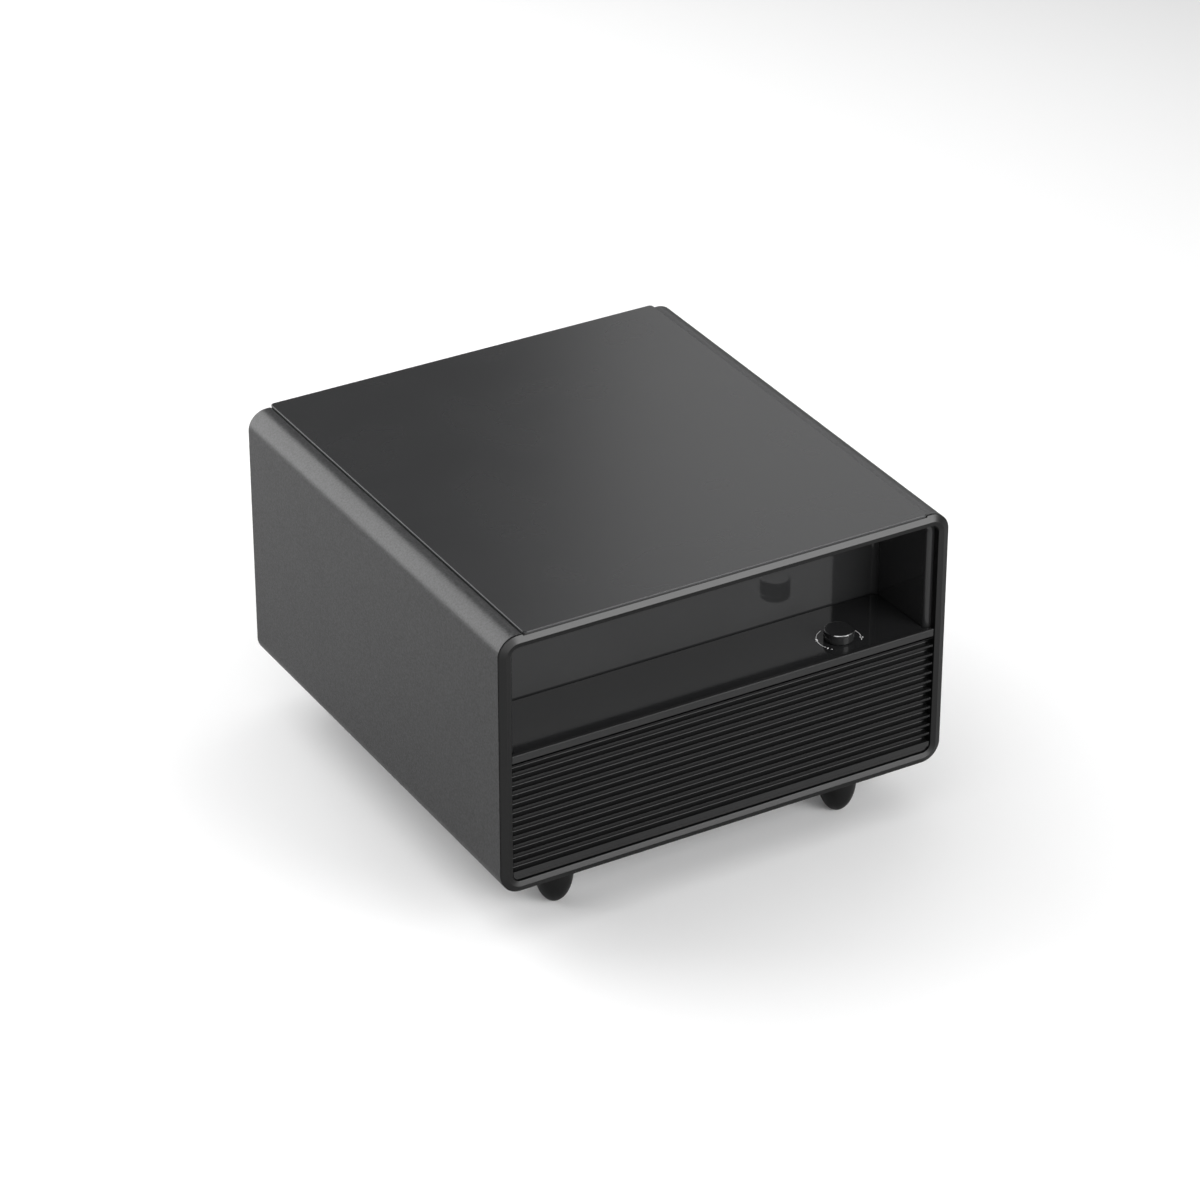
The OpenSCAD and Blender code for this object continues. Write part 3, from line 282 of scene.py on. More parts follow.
def brushedFinish(name, value, tint, rough, stretch, depth=0.01):
    mat, tree, shader = newMaterial(name, Metallic=1.0)
    lines = noiseNode(tree, 1, 3, stretch)
    colourFrom(tree, lines, shader, value, tint, share=0.12, low=0.3, high=0.7)
    roughnessFrom(tree, lines, shader, *rough)
    bumpFrom(tree, shader, [lines], strength=0.4, distance=depth)
    return mat


# a coated finish: grey value, tint, roughness span, grain scale and relief
# a brushed finish: grey value, tint, roughness span and line scales
finish = {
    "shell_paint": coatedFinish("shellPaint", 0.020, 0.06, (0.32, 0.38), 420, 0.20, speckle=0.7),
    "frame_metal": coatedFinish("frameMetal", 0.005, 0.02, (0.27, 0.32), 800, 0.003, spread=0.05),
    "top_glass": coatedFinish("topGlass", 0.012, 0.10, (0.25, 0.29), 900, 0.01, spread=0.05),
    "niche_glass": coatedFinish("nicheGlass", 0.018, 0.05, (0.03, 0.05), 60, 0.001, spread=0.05),
    "niche_plastic": coatedFinish("nichePlastic", 0.024, 0.03, (0.05, 0.08), 40, 0.002, spread=0.05),
    "front_gloss": coatedFinish("frontGloss", 0.017, 0.02, (0.13, 0.18), 700, 0.003, spread=0.05,
                                Specular_IOR_Level=0.45),
    "knob_finish": coatedFinish("knobFinish", 0.018, 0.02, (0.16, 0.22), 900, 0.002, spread=0.05),
    "knob_face": coatedFinish("knobFace", 0.020, 0.05, (0.05, 0.08), 60, 0.001, spread=0.05),
    "dark_plastic": coatedFinish("darkPlastic", 0.012, 0.02, (0.5, 0.6), 1400, 0.02),
    "foot_plastic": coatedFinish("footPlastic", 0.003, 0.02, (0.36, 0.44), 1300, 0.01,
                                 Specular_IOR_Level=0.3),
    "inner_plastic": coatedFinish("innerPlastic", 0.70, 0.02, (0.30, 0.36), 60, 0.02, spread=0.02),
    "foam": coatedFinish("foam", 0.55, -0.30, (0.8, 0.9), 700, 0.25, spread=0.10, strength=0.8),
    "seal_rubber": coatedFinish("sealRubber", 0.018, 0.0, (0.6, 0.7), 1100, 0.02),
    "zinc_steel": brushedFinish("zincSteel", 0.52, 0.02, (0.25, 0.36), (120, 40, 900)),
    "rear_steel": coatedFinish("rearSteel", 0.014, 0.02, (0.45, 0.55), 800, 0.03),
    "compressor_paint": coatedFinish("compressorPaint", 0.010, 0.0, (0.2, 0.3), 200, 0.05),
    "copper": brushedFinish("copper", 0.60, -0.62, (0.22, 0.34), (300, 300, 300)),
    "bare_aluminium": brushedFinish("bareAluminium", 0.70, 0.01, (0.30, 0.42), (60, 900, 60)),
    "circuit_board": coatedFinish("circuitBoard", 0.06, -0.2, (0.3, 0.4), 900, 0.02),
}

# painted shade: the frame's reflections are weaker on facets that turn away from forwards and up, standing
# in for the darker floor near the table that they would reflect
facingShade = {"towards": (-0.2, -0.89, 0.41), "turnedAway": 0.65, "turnedTo": 0.95, "least": 0.13, "most": 0.46}


def shineByFacing(mat):
    tree = mat.node_tree
    coord = tree.nodes.new("ShaderNodeTexCoord")
    dot = tree.nodes.new("ShaderNodeVectorMath")
    dot.operation = "DOT_PRODUCT"
    dot.inputs[1].default_value = facingShade["towards"]
    span = tree.nodes.new("ShaderNodeMapRange")
    ends = {"From Min": "turnedAway", "From Max": "turnedTo", "To Min": "least", "To Max": "most"}
    for socket, key in ends.items():
        span.inputs[socket].default_value = facingShade[key]
    tree.links.new(coord.outputs["Normal"], dot.inputs[0])
    tree.links.new(dot.outputs["Value"], span.inputs["Value"])
    tree.links.new(span.outputs["Result"], tree.nodes["Principled BSDF"].inputs["Specular IOR Level"])


shineByFacing(finish["frame_metal"])

for name, obj in frame["nodes"].items():
    slotName = next(s["material_slot"] for s in frame["record"]["subparts"] if s["node"] == name)
    obj.data.materials.clear()
    obj.data.materials.append(finish[slotName])
print("finishes ready:", len(finish))


def evenShading(obj):
    # large flat faces keep their own direction beside small rounded edges
    mod = obj.modifiers.new("shading", "WEIGHTED_NORMAL")
    mod.mode = "FACE_AREA"
    mod.keep_sharp = True
    return applyModifiers(obj)


def place(obj, slotName, body, *nodes):
    evenShading(obj)
    obj.data.materials.clear()
    obj.data.materials.append(finish[slotName])
    if nodes:
        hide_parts(*nodes)
    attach(obj, body)
    return obj


# Side shells: folded sheet with a rounded shoulder, a ledge for the glass and return flanges

shellSizes = {
    "ledgeHeight": 439.5, "ledgeReach": 272.5, "bottomReach": 286, "returnWidth": 12, "returnInset": 0.3,
    "edge": 0.4, "lipRound": 1.0, "arcSteps": 40, "returnSteps": 16,
}


def shellSection():
    r, t, k = table["cornerRadius"], table["sheet"], shellSizes
    innerX = halfWidth - table["shoulder"]
    ledge, n, lip = k["ledgeHeight"], k["arcSteps"], k["lipRound"]
    cx = halfWidth - r
    outer = [(-k["ledgeReach"], ledge), (-innerX - 0.01, ledge), (-innerX, ledge + 0.6)]
    for a in (0, 0.4, 0.8, 1.2, math.pi / 2):
        outer.append((-innerX - lip + lip * math.cos(a), boxHigh - lip + lip * math.sin(a)))
    outer += arc(-cx, boxHigh - r, r, 90, 180, n) + arc(-cx, boxLow + r, r, 180, 270, n)
    outer += [(-k["bottomReach"], boxLow), (-k["bottomReach"], boxLow + t)]
    outer += arc(-cx, boxLow + r, r - t, 270, 180, n) + arc(-cx, boxHigh - r, r - t, 180, 90, n)
    return outer + [(-innerX - t, boxHigh - t), (-innerX - t, ledge - t), (-k["ledgeReach"], ledge - t)]


def returnFlange(name, y0, y1):
    k, r = shellSizes, table["cornerRadius"]
    inset, w, n, reach = k["returnInset"], k["returnWidth"], k["returnSteps"], k["bottomReach"]
    cx = halfWidth - r
    outline = [(-halfWidth + table["shoulder"], boxHigh - inset)]
    outline += arc(-cx, boxHigh - r, r - inset, 90, 180, n) + arc(-cx, boxLow + r, r - inset, 180, 270, n)
    outline += [(-reach, boxLow + inset), (-reach, boxLow + w)]
    outline += arc(-cx, boxLow + r, r - w, 270, 180, n) + arc(-cx, boxHigh - r, r - w, 180, 90, n)
    outline += [(-halfWidth + table["shoulder"], boxHigh - w)]
    return prism(name, outline, "y", y0, y1)


def sideShell(name, mirrored):
    skin = prism(name + "Skin", shellSection(), "y", shellFront, backY)
    bevelEdges(skin, shellSizes["edge"], 2)
    t = table["sheet"]
    front = returnFlange("frontReturn", shellFront + 0.1, shellFront + t)
    rear = returnFlange("rearReturn", backY - 2 * t, backY - t - 0.05)
    shell = joined(name, [skin, front, rear])
    if mirrored:
        shell.data.transform(Matrix.Diagonal((-1, 1, 1, 1)))
        shell.data.flip_normals()
    return shell


place(sideShell("leftShell", False), "shell_paint", "cabinet", "side_shell_left")
place(sideShell("rightShell", True), "shell_paint", "cabinet", "side_shell_right")
print("side shells built")


# Glass top: a pane with rounded corners and a bright chamfer, on a dark bead set back under its edge

glass = {
    "thickness": 5, "proud": 3.5, "frontReach": 2, "backReach": 2.5, "gap": 0.4,
    "corner": 5, "cornerSteps": 8, "chamfer": 0.65, "undercut": 1.6, "sideUndercut": 0.3, "bead": 2.8,
}
glassHigh = boxHigh + glass["proud"]
glassLow = glassHigh - glass["thickness"]
beadHigh = glassLow + glass["bead"]


def roundedRectangle(x0, x1, y0, y1, r, steps):
    pts = arc(x1 - r, y1 - r, r, 0, 90, steps) + arc(x0 + r, y1 - r, r, 90, 180, steps)
    return pts + arc(x0 + r, y0 + r, r, 180, 270, steps) + arc(x1 - r, y0 + r, r, 270, 360, steps)


def glassPane():
    k = glass
    x = halfWidth - table["shoulder"] - k["gap"]
    y0, y1 = frontY - k["frontReach"], backY + k["backReach"]
    bead, top = beadHigh, glassHigh
    c, u, s = k["chamfer"], k["undercut"], k["sideUndercut"]
    # each ring from below upwards: set back at the sides, set back at the ends, height
    steps = ((s, u, glassLow), (s, u, bead - 1), (0.05, 0.1, bead - 0.2), (0, 0, bead),
             (0, 0, top - c - 0.12), (0.04, 0.04, top - c), (c - 0.12, c - 0.12, top - 0.05),
             (c, c, top), (c + 0.5, c + 0.5, top))
    rings = []
    for sx, sy, z in steps:
        outline = roundedRectangle(-x + sx, x - sx, y0 + sy, y1 - sy, k["corner"] - sy, k["cornerSteps"])
        rings.append([(px, py, z) for px, py in outline])
    return meshObject("glassTop", *loft(rings), smooth=25)


pane = place(glassPane(), "top_glass", "cabinet", "glass_top")
# painted light: the glass's side faces take a lighter copy of the top's finish so the edges read bright
finish["glass_edge"] = coatedFinish("glassEdge", 0.045, 0.10, (0.22, 0.28), 900, 0.004, spread=0.05)
pane.data.materials.append(finish["glass_edge"])
pane.data.materials.append(finish["seal_rubber"])
for poly in pane.data.polygons:
    poly.material_index = 2 if poly.center.z < beadHigh * mm else int(abs(poly.normal.z) < 0.5)
print("glass top built")


# Front frame: two satin facets that meet in a soft ridge, swept round the opening

frameSizes = {
    "width": 15.7, "ridgeIn": 8.8, "ridgeOut": 4.0, "innerOut": 1.9, "jamb": 8, "wall": 2, "outerWall": 1.5,
    "rounds": (0.5, 0.7, 0.6, 0.4, 0, 0, 0, 0, 0.3), "roundSteps": 4, "cornerSteps": 28, "notchGap": 0.2,
}


def frameProfile():
    # runs round the section as distance in from the outer edge and distance out to the front
    k = frameSizes
    w, inner, back = k["outerWall"], k["width"] - k["wall"], -1 - table["shadowGap"]
    points = [(0, 0), (k["ridgeIn"], k["ridgeOut"]), (k["width"], k["innerOut"]), (k["width"], -k["jamb"]),
              (inner, -k["jamb"]), (inner, back), (w, back), (w, -1), (0, -1)]
    return roundedPolygon(points, k["rounds"], k["roundSteps"])


def sweptFrame():
    profile = frameProfile()
    r, n = table["cornerRadius"], frameSizes["cornerSteps"]
    right, top, low = halfWidth - r, boxHigh - r, boxLow + r
    rings = []
    for cx, cz, start in ((right, top, 0), (-right, top, 90), (-right, low, 180), (right, low, 270)):
        for i in range(n + 1):
            a = math.radians(start + 90 * i / n)
            dx, dz = math.cos(a), math.sin(a)
            rings.append([(cx + (r - p[0]) * dx, frontY - p[1], cz + (r - p[0]) * dz) for p in profile])
    rings.append(rings[0])
    return meshObject("frontFrame", *loft(rings, caps=False), smooth=24)


frontFrame = sweptFrame()
notchX = halfWidth - table["shoulder"]
notchLow = glassLow - frameSizes["notchGap"]
notch = boxObject("notch", (-notchX, frontY - 12, notchLow), (notchX, frontY + 10, boxHigh + 5))
cutBy(frontFrame, notch, smooth=24)
place(frontFrame, "frame_metal", "cabinet", "front_frame")
print("front frame built")


# Niche: a moulded recess with a flared lip, leaning walls and soft back corners

niche = {
    "halfWidth": 299.8, "top": 421.8, "bottom": 272.5, "lip": 7, "mouthRadius": 6, "cornerRadius": 8,
    "draft": 3.8, "depth": 111, "wall": 2.5, "flange": 9,
    "lipSteps": 12, "wallSteps": 4, "filletSteps": 10, "cornerSteps": 14,
}


def nicheRing(off, radius, y):
    # the mouth's outline, grown by off: up the left wall, over the ceiling and down the right wall
    x, top, low, n = niche["halfWidth"] + off, niche["top"] + off, niche["bottom"], niche["cornerSteps"]
    leftCorner = arc(-x + radius, top - radius, radius, 180, 90, n)
    rightCorner = arc(x - radius, top - radius, radius, 90, 0, n)
    return [(px, y, pz) for px, pz in [(-x, low)] + leftCorner + rightCorner + [(x, low)]]


def nicheShell():
    k = niche
    mouthY = lipY + k["lip"]
    endY = lipY + k["depth"]
    rim, r = k["lip"] + k["flange"], k["cornerRadius"]
    rings = [nicheRing(rim, k["mouthRadius"] + rim, lipY)]
    for i in range(k["lipSteps"] + 1):
        a = math.pi / 2 * i / k["lipSteps"]
        off = k["lip"] * (1 - math.sin(a))
        rings.append(nicheRing(off, k["mouthRadius"] + off, lipY + k["lip"] * (1 - math.cos(a))))
    filletY = endY - r
    for i in range(1, k["wallSteps"] + 1):
        s = i / k["wallSteps"]
        radius = k["mouthRadius"] + (r - k["mouthRadius"]) * s
        rings.append(nicheRing(-k["draft"] * s, radius, mouthY + (filletY - mouthY) * s))
    for i in range(1, k["filletSteps"] + 1):
        a = math.pi / 2 * i / k["filletSteps"]
        off = -k["draft"] - r * (1 - math.cos(a))
        rings.append(nicheRing(off, max(r * math.cos(a), 0.02), filletY + r * math.sin(a)))
    verts, faces = loft(rings, ringClosed=False, caps=False)
    n = len(rings[0])
    base = (len(rings) - 1) * n
    faces.append(tuple(range(base, base + n)))
    obj = meshObject("nicheRecess", verts, faces, outward=False)
    bm = bmesh.new()
    bm.from_mesh(obj.data)
    bmesh.ops.recalc_face_normals(bm, faces=bm.faces)
    # the back wall faces forwards, and the thickness goes behind it
    wall = max(bm.faces, key=lambda f: f.calc_area() if f.calc_center_median().y > (endY - 1) * mm else 0)
    if wall.normal.y > 0:
        bmesh.ops.reverse_faces(bm, faces=bm.faces)
    bm.to_mesh(obj.data)
    bm.free()
    mod = obj.modifiers.new("wall", "SOLIDIFY")
    mod.thickness = k["wall"] * mm
    mod.offset = -1
    mod.use_even_offset = True
    return smoothSides(applyModifiers(obj), 32)


place(nicheShell(), "niche_plastic", "cabinet", "niche_liner")
print("niche built")


# Floor plate of the niche, flared at the front to follow the lip

plate = {
    "top": 276.5, "thickness": 4, "gap": 0.8, "backGap": 2.2, "front": -333.2, "edge": 0.35,
    "flareSteps": 12, "cornerSteps": 10,
}


def plateOutline():
    k = niche
    g = plate["gap"]
    r = k["cornerRadius"] - g
    mouthY = lipY + k["lip"]
    backX = k["halfWidth"] - k["draft"] - g
    backEdge = lipY + k["depth"] - plate["backGap"]
    right = [(openX - g, plate["front"]), (openX - g, lipY - g)]
    right += arc(k["halfWidth"] + k["lip"], mouthY, k["lip"] + g, 270, 180, plate["flareSteps"])
    right += arc(backX - r, backEdge - r, r, 0, 90, plate["cornerSteps"])
    return right + [(-x, y) for x, y in reversed(right)]


floorPlate = prism("nicheFloor", plateOutline(), "z", plate["top"] - plate["thickness"], plate["top"])
bevelEdges(floorPlate, plate["edge"], 1)
place(floorPlate, "niche_glass", "cabinet", "niche_floor_glass")
print("niche floor built")


# Drawer front: plain band, twelve grooves between thin ribs, plinth strip below

drawer = {
    "halfWidth": 308.1, "front": -339.5, "low": 95.7, "high": 277.8,
    "grooves": 12, "grooveLow": 109.3, "pitch": 13.2, "depth": 9.6, "grooveRound": 0.9, "grooveSteps": 6,
    "nose": 2.8, "noseRound": 0.22, "noseSteps": 4, "skin": 3.9,
    "bandLow": 264.9, "rimBack": -334.0, "rimLow": 271.0, "chamfer": 0.8,
    "lowerBand": 8, "toe": 1.2, "cornerRadius": 10.1, "cornerSteps": 16, "cutHigh": 140,
}


def ribUnit():
    # one groove with the rib above it, as depth and height from the groove's lower edge
    k = drawer
    y0 = k["front"]
    back = y0 + k["depth"] + k["skin"]
    pitch, r, n = k["pitch"], k["grooveRound"], k["noseRound"]
    top = pitch - k["nose"]
    pts = arc(y0 + k["depth"] - r, r, r, -90, 0, k["grooveSteps"]) + [(y0 + k["depth"], top)]
    nose = [(y0 + 3, top), (y0, top), (y0, pitch), (y0 + 3, pitch)]
    pts += roundedPolygon(nose, [0, n, n, 0], k["noseSteps"])[1:-1] + [(back, pitch), (back, 0)]
    return prism("ribUnit", pts, "x", -k["halfWidth"], k["halfWidth"], smooth=28)


def repeatUp(unit, count, step, materialName):
    # stacks copies of a unit upwards with geometry nodes and returns a plain mesh
    tree = bpy.data.node_groups.new("stackedRibs", "GeometryNodeTree")
    tree.interface.new_socket(name="Geometry", in_out="INPUT", socket_type="NodeSocketGeometry")
    countIn = tree.interface.new_socket(name="Count", in_out="INPUT", socket_type="NodeSocketInt")
    stepIn = tree.interface.new_socket(name="Step", in_out="INPUT", socket_type="NodeSocketFloat")
    tree.interface.new_socket(name="Geometry", in_out="OUTPUT", socket_type="NodeSocketGeometry")
    nodes, links = tree.nodes, tree.links
    inNode = nodes.new("NodeGroupInput")
    outNode = nodes.new("NodeGroupOutput")
    line = nodes.new("GeometryNodeMeshLine")
    offset = nodes.new("ShaderNodeCombineXYZ")
    spread = nodes.new("GeometryNodeInstanceOnPoints")
    real = nodes.new("GeometryNodeRealizeInstances")
    colour = nodes.new("GeometryNodeSetMaterial")
    colour.inputs["Material"].default_value = bpy.data.materials[materialName]
    links.new(inNode.outputs["Count"], line.inputs["Count"])
    links.new(inNode.outputs["Step"], offset.inputs["Z"])
    links.new(offset.outputs["Vector"], line.inputs["Offset"])
    links.new(line.outputs["Mesh"], spread.inputs["Points"])
    links.new(inNode.outputs["Geometry"], spread.inputs["Instance"])
    links.new(spread.outputs["Instances"], real.inputs["Geometry"])
    links.new(real.outputs["Geometry"], colour.inputs["Geometry"])
    links.new(colour.outputs["Geometry"], outNode.inputs["Geometry"])
    mod = unit.modifiers.new("stack", "NODES")
    mod.node_group = tree
    mod[countIn.identifier] = count
    mod[stepIn.identifier] = step * mm
    return applyModifiers(unit)


def drawerFront():
    k = drawer
    y0, x = k["front"], k["halfWidth"]
    back = y0 + k["depth"] + k["skin"]
    ribs = repeatUp(ribUnit(), k["grooves"], k["pitch"], "frontGloss")
    ribs.data.transform(Matrix.Translation((0, 0, k["grooveLow"] * mm)))
    c, high, bandLow = k["chamfer"], k["high"], k["bandLow"]
    band = [(y0, bandLow), (y0, high - c), (y0 + 0.1, high - c + 0.15), (y0 + c, high),
            (k["rimBack"], high), (k["rimBack"], k["rimLow"]), (back, k["rimLow"]), (back, bandLow)]
    bandPiece = prism("band", band, "x", -x, x)
    low, top, toeY = k["low"], k["grooveLow"], y0 + k["toe"]
    step = top - k["lowerBand"]
    strip = [(y0, top), (y0, step + 0.4), (y0 + 0.15, step + 0.15), (toeY, step), (toeY, low + 0.7),
             (toeY + 0.2, low + 0.2), (toeY + 0.7, low), (back, low), (back, top)]
    stripPiece = prism("plinth", strip, "x", -x, x)
    r, n = k["cornerRadius"], k["cornerSteps"]
    outline = arc(-x + r, low + r, r, 180, 270, n) + arc(x - r, low + r, r, 270, 360, n)
    outline += [(x, k["cutHigh"]), (-x, k["cutHigh"])]
    cutBy(stripPiece, prism("plinthOutline", outline, "y", y0 - 20, y0 + 60), "INTERSECT")
    return joined("drawerFront", [ribs, bandPiece, stripPiece])


# a darker copy of the front's finish: painted shade for the grooves
finish["groove_gloss"] = coatedFinish("grooveGloss", 0.009, 0.02, (0.13, 0.18), 700, 0.003, spread=0.05,
                                      Specular_IOR_Level=0.3)
front = place(drawerFront(), "front_gloss", "drawer", "drawer_front_panel")
front.data.materials.append(finish["groove_gloss"])
for poly in front.data.polygons:
    # painted shade: the ribs and grooves take a darker, less shiny copy of the finish on the band above and
    # the strip below
    poly.material_index = int(drawer["grooveLow"] < poly.center.z / mm < drawer["bandLow"])
print("drawer front built")


# Knob: turned cap with a bright chamfer and a glossy disc let into it

knob = {
    "x": 192, "y": -296.8, "low": 277.5, "height": 13.2, "radius": 19.9, "turns": 128,
    "roof": 3.6, "wall": 2.4, "footIn": 0.9, "footHigh": 1.0,
    "edge": 0.75, "step": 4.2, "stepIn": 0.35, "rimFlat": 0.8,
    "seat": 1.2, "discGap": 0.92, "discDrop": 0.2, "dish": 0.25,
}


def knobCap():
    # from under the roof down the wall, out round the foot, up over the step and the rim, and into the seat
    k = knob
    r, h, e, seat = k["radius"], k["height"], k["edge"], k["height"] - k["seat"]
    inside, roof, footOut, footHigh = r - k["wall"], h - k["roof"], r - k["footIn"], k["footHigh"]
    top, step = r - k["stepIn"], h - k["step"]
    rim = top - e
    bore = rim - k["rimFlat"]
    profile = [(0, roof), (inside, roof), (inside, 0), (footOut, 0), (footOut, footHigh),
               (r - 0.2, footHigh), (r, footHigh + 0.2), (r, step - 0.3), (r - 0.12, step),
               (top - 0.25, step), (top - 0.25, step + 0.35), (top, step + 0.45), (top, h - e - 0.1),
               (top - 0.04, h - e), (rim + 0.04, h - 0.04), (rim - 0.05, h), (rim - 0.7, h),
               (bore, h - 0.1), (bore, seat), (0, seat)]
    return meshObject("knobCap", *lathe(profile, (k["x"], k["y"]), k["turns"], k["low"]), smooth=28)


def knobDisc():
    k = knob
    r = k["radius"] - k["stepIn"] - k["edge"] - k["discGap"]
    seat, high = k["height"] - k["seat"], k["height"] - k["discDrop"]
    profile = [(0, seat), (r, seat), (r, high - 0.15), (r - 0.15, high)]
    profile += [(r * s, high - k["dish"] * (1 - s * s)) for s in (0.8, 0.6, 0.4, 0.2, 0)]
    return meshObject("knobDisc", *lathe(profile, (k["x"], k["y"]), k["turns"], k["low"]), smooth=28)


finish["knob_edge"] = brushedFinish("knobEdge", 0.75, 0.01, (0.14, 0.20), (300, 300, 2600), depth=0.002)
cap = place(knobCap(), "knob_finish", "knob", "knob_cap")
cap.data.materials.append(finish["knob_edge"])
chamferLow = knob["low"] + knob["height"] - knob["edge"] - 0.02
chamferOut = knob["radius"] - knob["stepIn"] - 0.01
chamferIn = chamferOut - knob["edge"] - 0.04
for poly in cap.data.polygons:
    x, y, z = poly.center / mm
    if z > chamferLow and chamferIn < math.hypot(x - knob["x"], y - knob["y"]) < chamferOut:
        poly.material_index = 1
place(knobDisc(), "knob_face", "knob", "knob_disc")
print("knob built")


# Printed marks round the knob: two arcs with ticks and dots, level with the plate

# angles in degrees, from the right and turning to the back
marks = {
    "radius": 29, "stroke": 0.45, "lift": 0.03, "tickLength": 3.0, "dotSize": 1.1,
    "arcs": ((109, 204), (12, -20)),
    # angle and half the angle that the tick or dot fills, and for a dot how far out of the arc it lies
    "ticks": ((156, 0.9), (163, 0.9), (209, 1.2)),
    "dots": ((220, 1.5, 0), (-24, 1.8, -1.4), (-24, 1.8, 1.8), (-30, 1.5, 0.2), (-35, 1.8, 0)),
    "link": (157, 162), "linkIn": 1.2,
}
# the white print also glows a little: painted light that keeps the marks bright in the niche's shade
finish["print_white"] = coatedFinish("printWhite", 0.90, 0.0, (0.4, 0.5), 900, 0.005, spread=0.05,
                                     Emission_Color=(1, 1, 1, 1), Emission_Strength=0.35)


def arcStrip(r, start, end, stroke):
    n = max(2, int(abs(end - start) / 2))
    verts, faces = [], []
    for i in range(n + 1):
        a = math.radians(start + (end - start) * i / n)
        for s in (-stroke / 2, stroke / 2):
            for z in (plate["top"] - 0.02, plate["top"] + marks["lift"]):
                verts.append((knob["x"] + (r + s) * math.cos(a), knob["y"] + (r + s) * math.sin(a), z))
    for i in range(n):
        a, b = 4 * i, 4 * i + 4
        faces += [(a + 1, a + 3, b + 3, b + 1), (a, b, b + 2, a + 2)]
        faces += [(a, a + 1, b + 1, b), (a + 2, b + 2, b + 3, a + 3)]
    faces += [(0, 2, 3, 1), (4 * n, 4 * n + 1, 4 * n + 3, 4 * n + 2)]
    return verts, faces


def dialMarks():
    verts, faces = [], []
    k = marks
    r = k["radius"]
    pieces = [(r, start, end, k["stroke"]) for start, end in k["arcs"]]
    for angle, half in k["ticks"]:
        pieces.append((r, angle - half, angle + half, k["tickLength"]))
    pieces.append((r - k["linkIn"], *k["link"], k["stroke"]))
    for angle, half, out in k["dots"]:
        pieces.append((r + out, angle - half, angle + half, k["dotSize"]))
    for piece in pieces:
        v, f = arcStrip(*piece)
        base = len(verts)
        verts += v
        faces += [tuple(base + i for i in face) for face in f]
    return meshObject("dialMarks", verts, faces)


dial = dialMarks()
dial.data.materials.append(finish["print_white"])
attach(dial, "cabinet")
print("dial marks printed")


# Feet: turned, rounded below and cut flat

foot = {
    "radius": 25.6, "straight": 33, "flat": 6, "sunk": 1.2, "x": 212.5, "y": 271.2,
    "turns": 96, "roundSteps": 24,
    "corners": {"front_left": (-1, -1), "front_right": (1, -1), "rear_left": (-1, 1), "rear_right": (1, 1)},
}


def footPiece(name, sx, sy):
    k = foot
    share = math.sqrt(1 - (k["flat"] / k["radius"]) ** 2)
    drop = (boxLow - k["straight"]) / share
    end = math.asin(share)
    profile = [(0, 0), (k["flat"] - 0.6, 0)]
    for i in range(k["roundSteps"] + 1):
        a = end * (1 - i / k["roundSteps"])
        profile.append((k["radius"] * math.cos(a), boxLow - k["straight"] - drop * math.sin(a)))
    r, high = k["radius"], boxLow + k["sunk"]
    profile += [(r, boxLow - 0.8), (r - 0.2, boxLow - 0.3), (r - 0.8, high), (0, high)]
    return meshObject(name, *lathe(profile, (sx * k["x"], sy * k["y"]), k["turns"]), smooth=28)


for name, (sx, sy) in foot["corners"].items():
    place(footPiece("foot_" + name + "Turned", sx, sy), "foot_plastic", "cabinet", "foot_" + name)
print("feet built")


# Camera: the photograph's own viewing angle

view = {
    "azimuth": -30.066, "elevation": 30.156, "lens": 138.197, "sensor": 36, "clipEnd": 60,
    "place": (-2.60162, -4.51525, 3.26707),
}


def setCamera():
    a, e = math.radians(view["azimuth"]), math.radians(view["elevation"])
    right = Vector((math.cos(a), math.sin(a), 0))
    back = Vector((math.sin(a) * math.cos(e), -math.cos(a) * math.cos(e), math.sin(e)))
    up = back.cross(right)
    data = bpy.data.cameras.new("camera")
    data.lens = view["lens"]
    data.sensor_width = view["sensor"]
    data.sensor_fit = "HORIZONTAL"
    data.clip_end = view["clipEnd"]
    cam = bpy.data.objects.new("camera", data)
    cam.matrix_world = Matrix((
        (right.x, up.x, back.x, view["place"][0]), (right.y, up.y, back.y, view["place"][1]),
        (right.z, up.z, back.z, view["place"][2]), (0, 0, 0, 1)))
    bpy.context.scene.collection.objects.link(cam)
    bpy.context.scene.camera = cam


setCamera()


# Studio: pale floor, soft lamps, white behind

studio = {
    "ambient": 0.25, "floorSeen": 0.95, "floorReflected": 0.52, "reach": 9000,
    "aimHeight": 0.2, "overheadFrom": 80,
}

# each lamp: direction from the table's back turning right, angle above the floor, distance,
# width, height and radiance
lamps = {
    "frontRight": (155.4, 20.5, 3.31, 1.88, 2.7, 6.0),
    "backLeft": (-32, 29.7, 3.46, 4.4, 3.76, 3.3),
    "backRight": (48, 31.5, 3.54, 2.0, 1.6, 1.02),
    "frontLeft": (192, 12, 3.3, 2.3, 1.6, 1.6),
    "overhead": (0, 90, 3.0, 4.6, 4.6, 0.9),
}


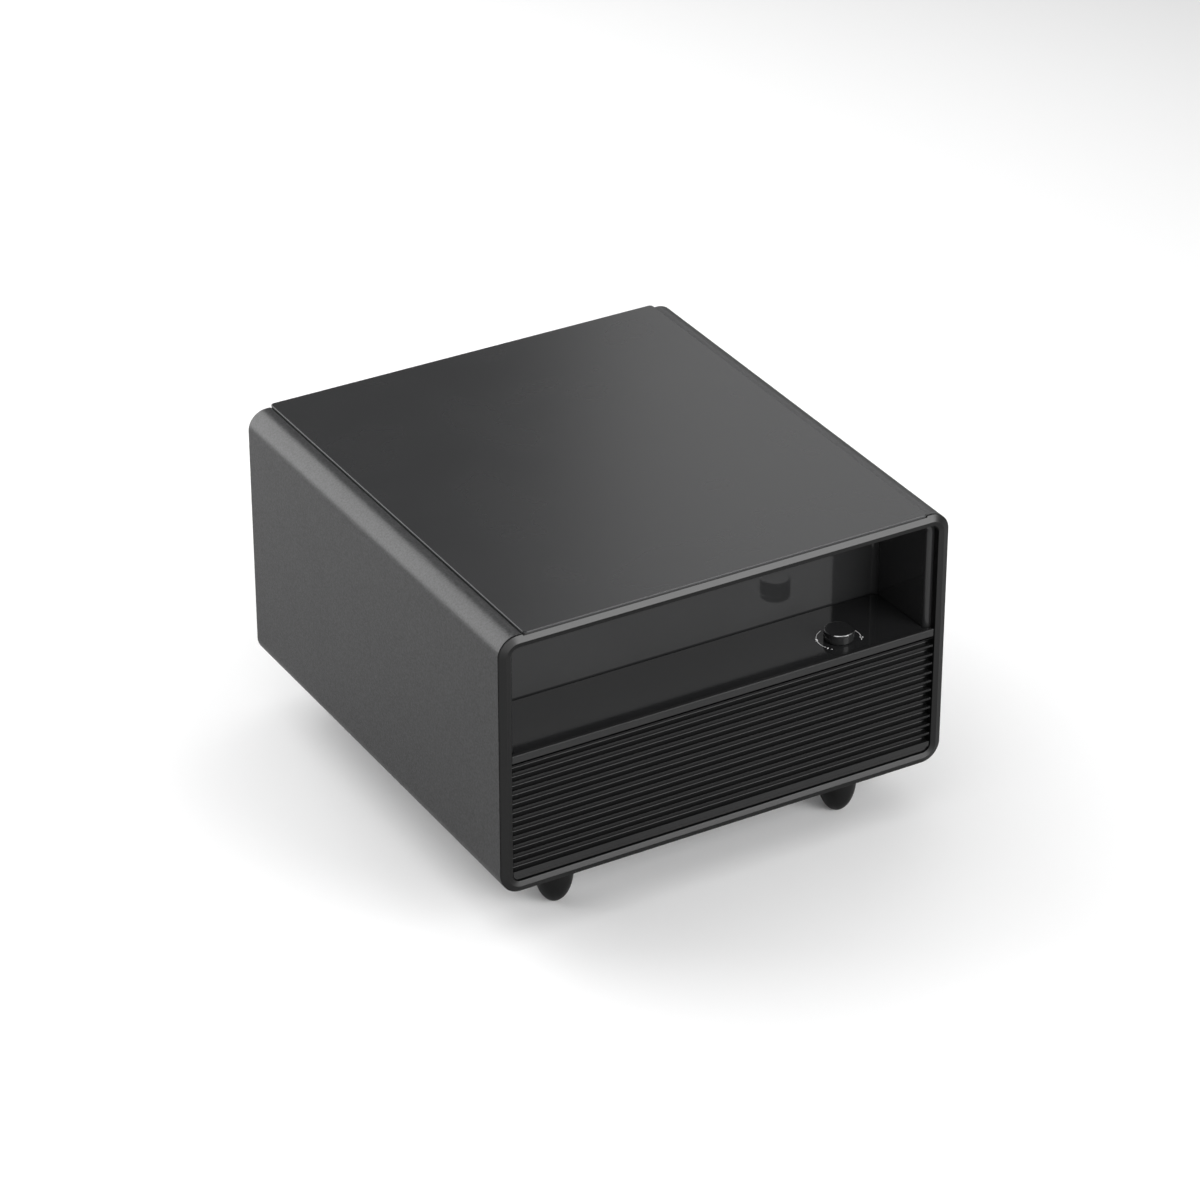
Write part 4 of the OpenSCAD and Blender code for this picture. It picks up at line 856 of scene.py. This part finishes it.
def addLamp(name, turn, lift, distance, width, height, radiance):
    data = bpy.data.lights.new(name, "AREA")
    data.shape = "RECTANGLE"
    data.size, data.size_y = width, height
    data.energy = radiance * math.pi * width * height
    lamp = bpy.data.objects.new(name, data)
    t, e = math.radians(turn), math.radians(lift)
    spot = Vector((math.sin(t) * math.cos(e), math.cos(t) * math.cos(e), math.sin(e))) * distance
    lamp.location = spot + Vector((0, 0, studio["aimHeight"]))
    overhead = lift > studio["overheadFrom"]
    facing = spot if overhead else Vector((spot.x, spot.y, 0))  # the others stand upright
    lamp.rotation_euler = facing.to_track_quat("Z", "Y").to_euler()
    lamp.visible_camera = False
    bpy.context.scene.collection.objects.link(lamp)


def buildStudio():
    world = bpy.data.worlds.new("studio")
    world.use_nodes = True
    tree = world.node_tree
    tree.nodes.clear()
    path = tree.nodes.new("ShaderNodeLightPath")
    soft = tree.nodes.new("ShaderNodeBackground")
    soft.inputs["Color"].default_value = (1, 1, 1, 1)
    soft.inputs["Strength"].default_value = studio["ambient"]
    white = tree.nodes.new("ShaderNodeBackground")
    white.inputs["Color"].default_value = (1, 1, 1, 1)
    white.inputs["Strength"].default_value = 1
    mix = tree.nodes.new("ShaderNodeMixShader")
    out = tree.nodes.new("ShaderNodeOutputWorld")
    tree.links.new(path.outputs["Is Camera Ray"], mix.inputs["Fac"])
    tree.links.new(soft.outputs["Background"], mix.inputs[1])
    tree.links.new(white.outputs["Background"], mix.inputs[2])
    tree.links.new(mix.outputs["Shader"], out.inputs["Surface"])
    bpy.context.scene.world = world
    mat, tree, shader = newMaterial("studioFloor", Roughness=0.9)
    # the floor is pale to the camera and a plain grey in what it throws back on the table
    path = tree.nodes.new("ShaderNodeLightPath")
    pick = tree.nodes.new("ShaderNodeMix")
    pick.data_type = "RGBA"
    pick.inputs[6].default_value = (studio["floorReflected"],) * 3 + (1,)
    pick.inputs[7].default_value = (studio["floorSeen"],) * 3 + (1,)
    tree.links.new(path.outputs["Is Camera Ray"], pick.inputs[0])
    tree.links.new(pick.outputs[2], shader.inputs["Base Color"])
    shader.inputs["Specular IOR Level"].default_value = 0.1
    far = studio["reach"]
    corners = [(-far, -far, 0), (far, -far, 0), (far, far, 0), (-far, far, 0)]
    floor = meshObject("studioFloor", corners, [(0, 1, 2, 3)], outward=False)
    floor.data.materials.append(mat)
    for name, settings in lamps.items():
        addLamp(name, *settings)


buildStudio()
scene = bpy.context.scene
scene.view_settings.view_transform = "Standard"
print("studio ready")
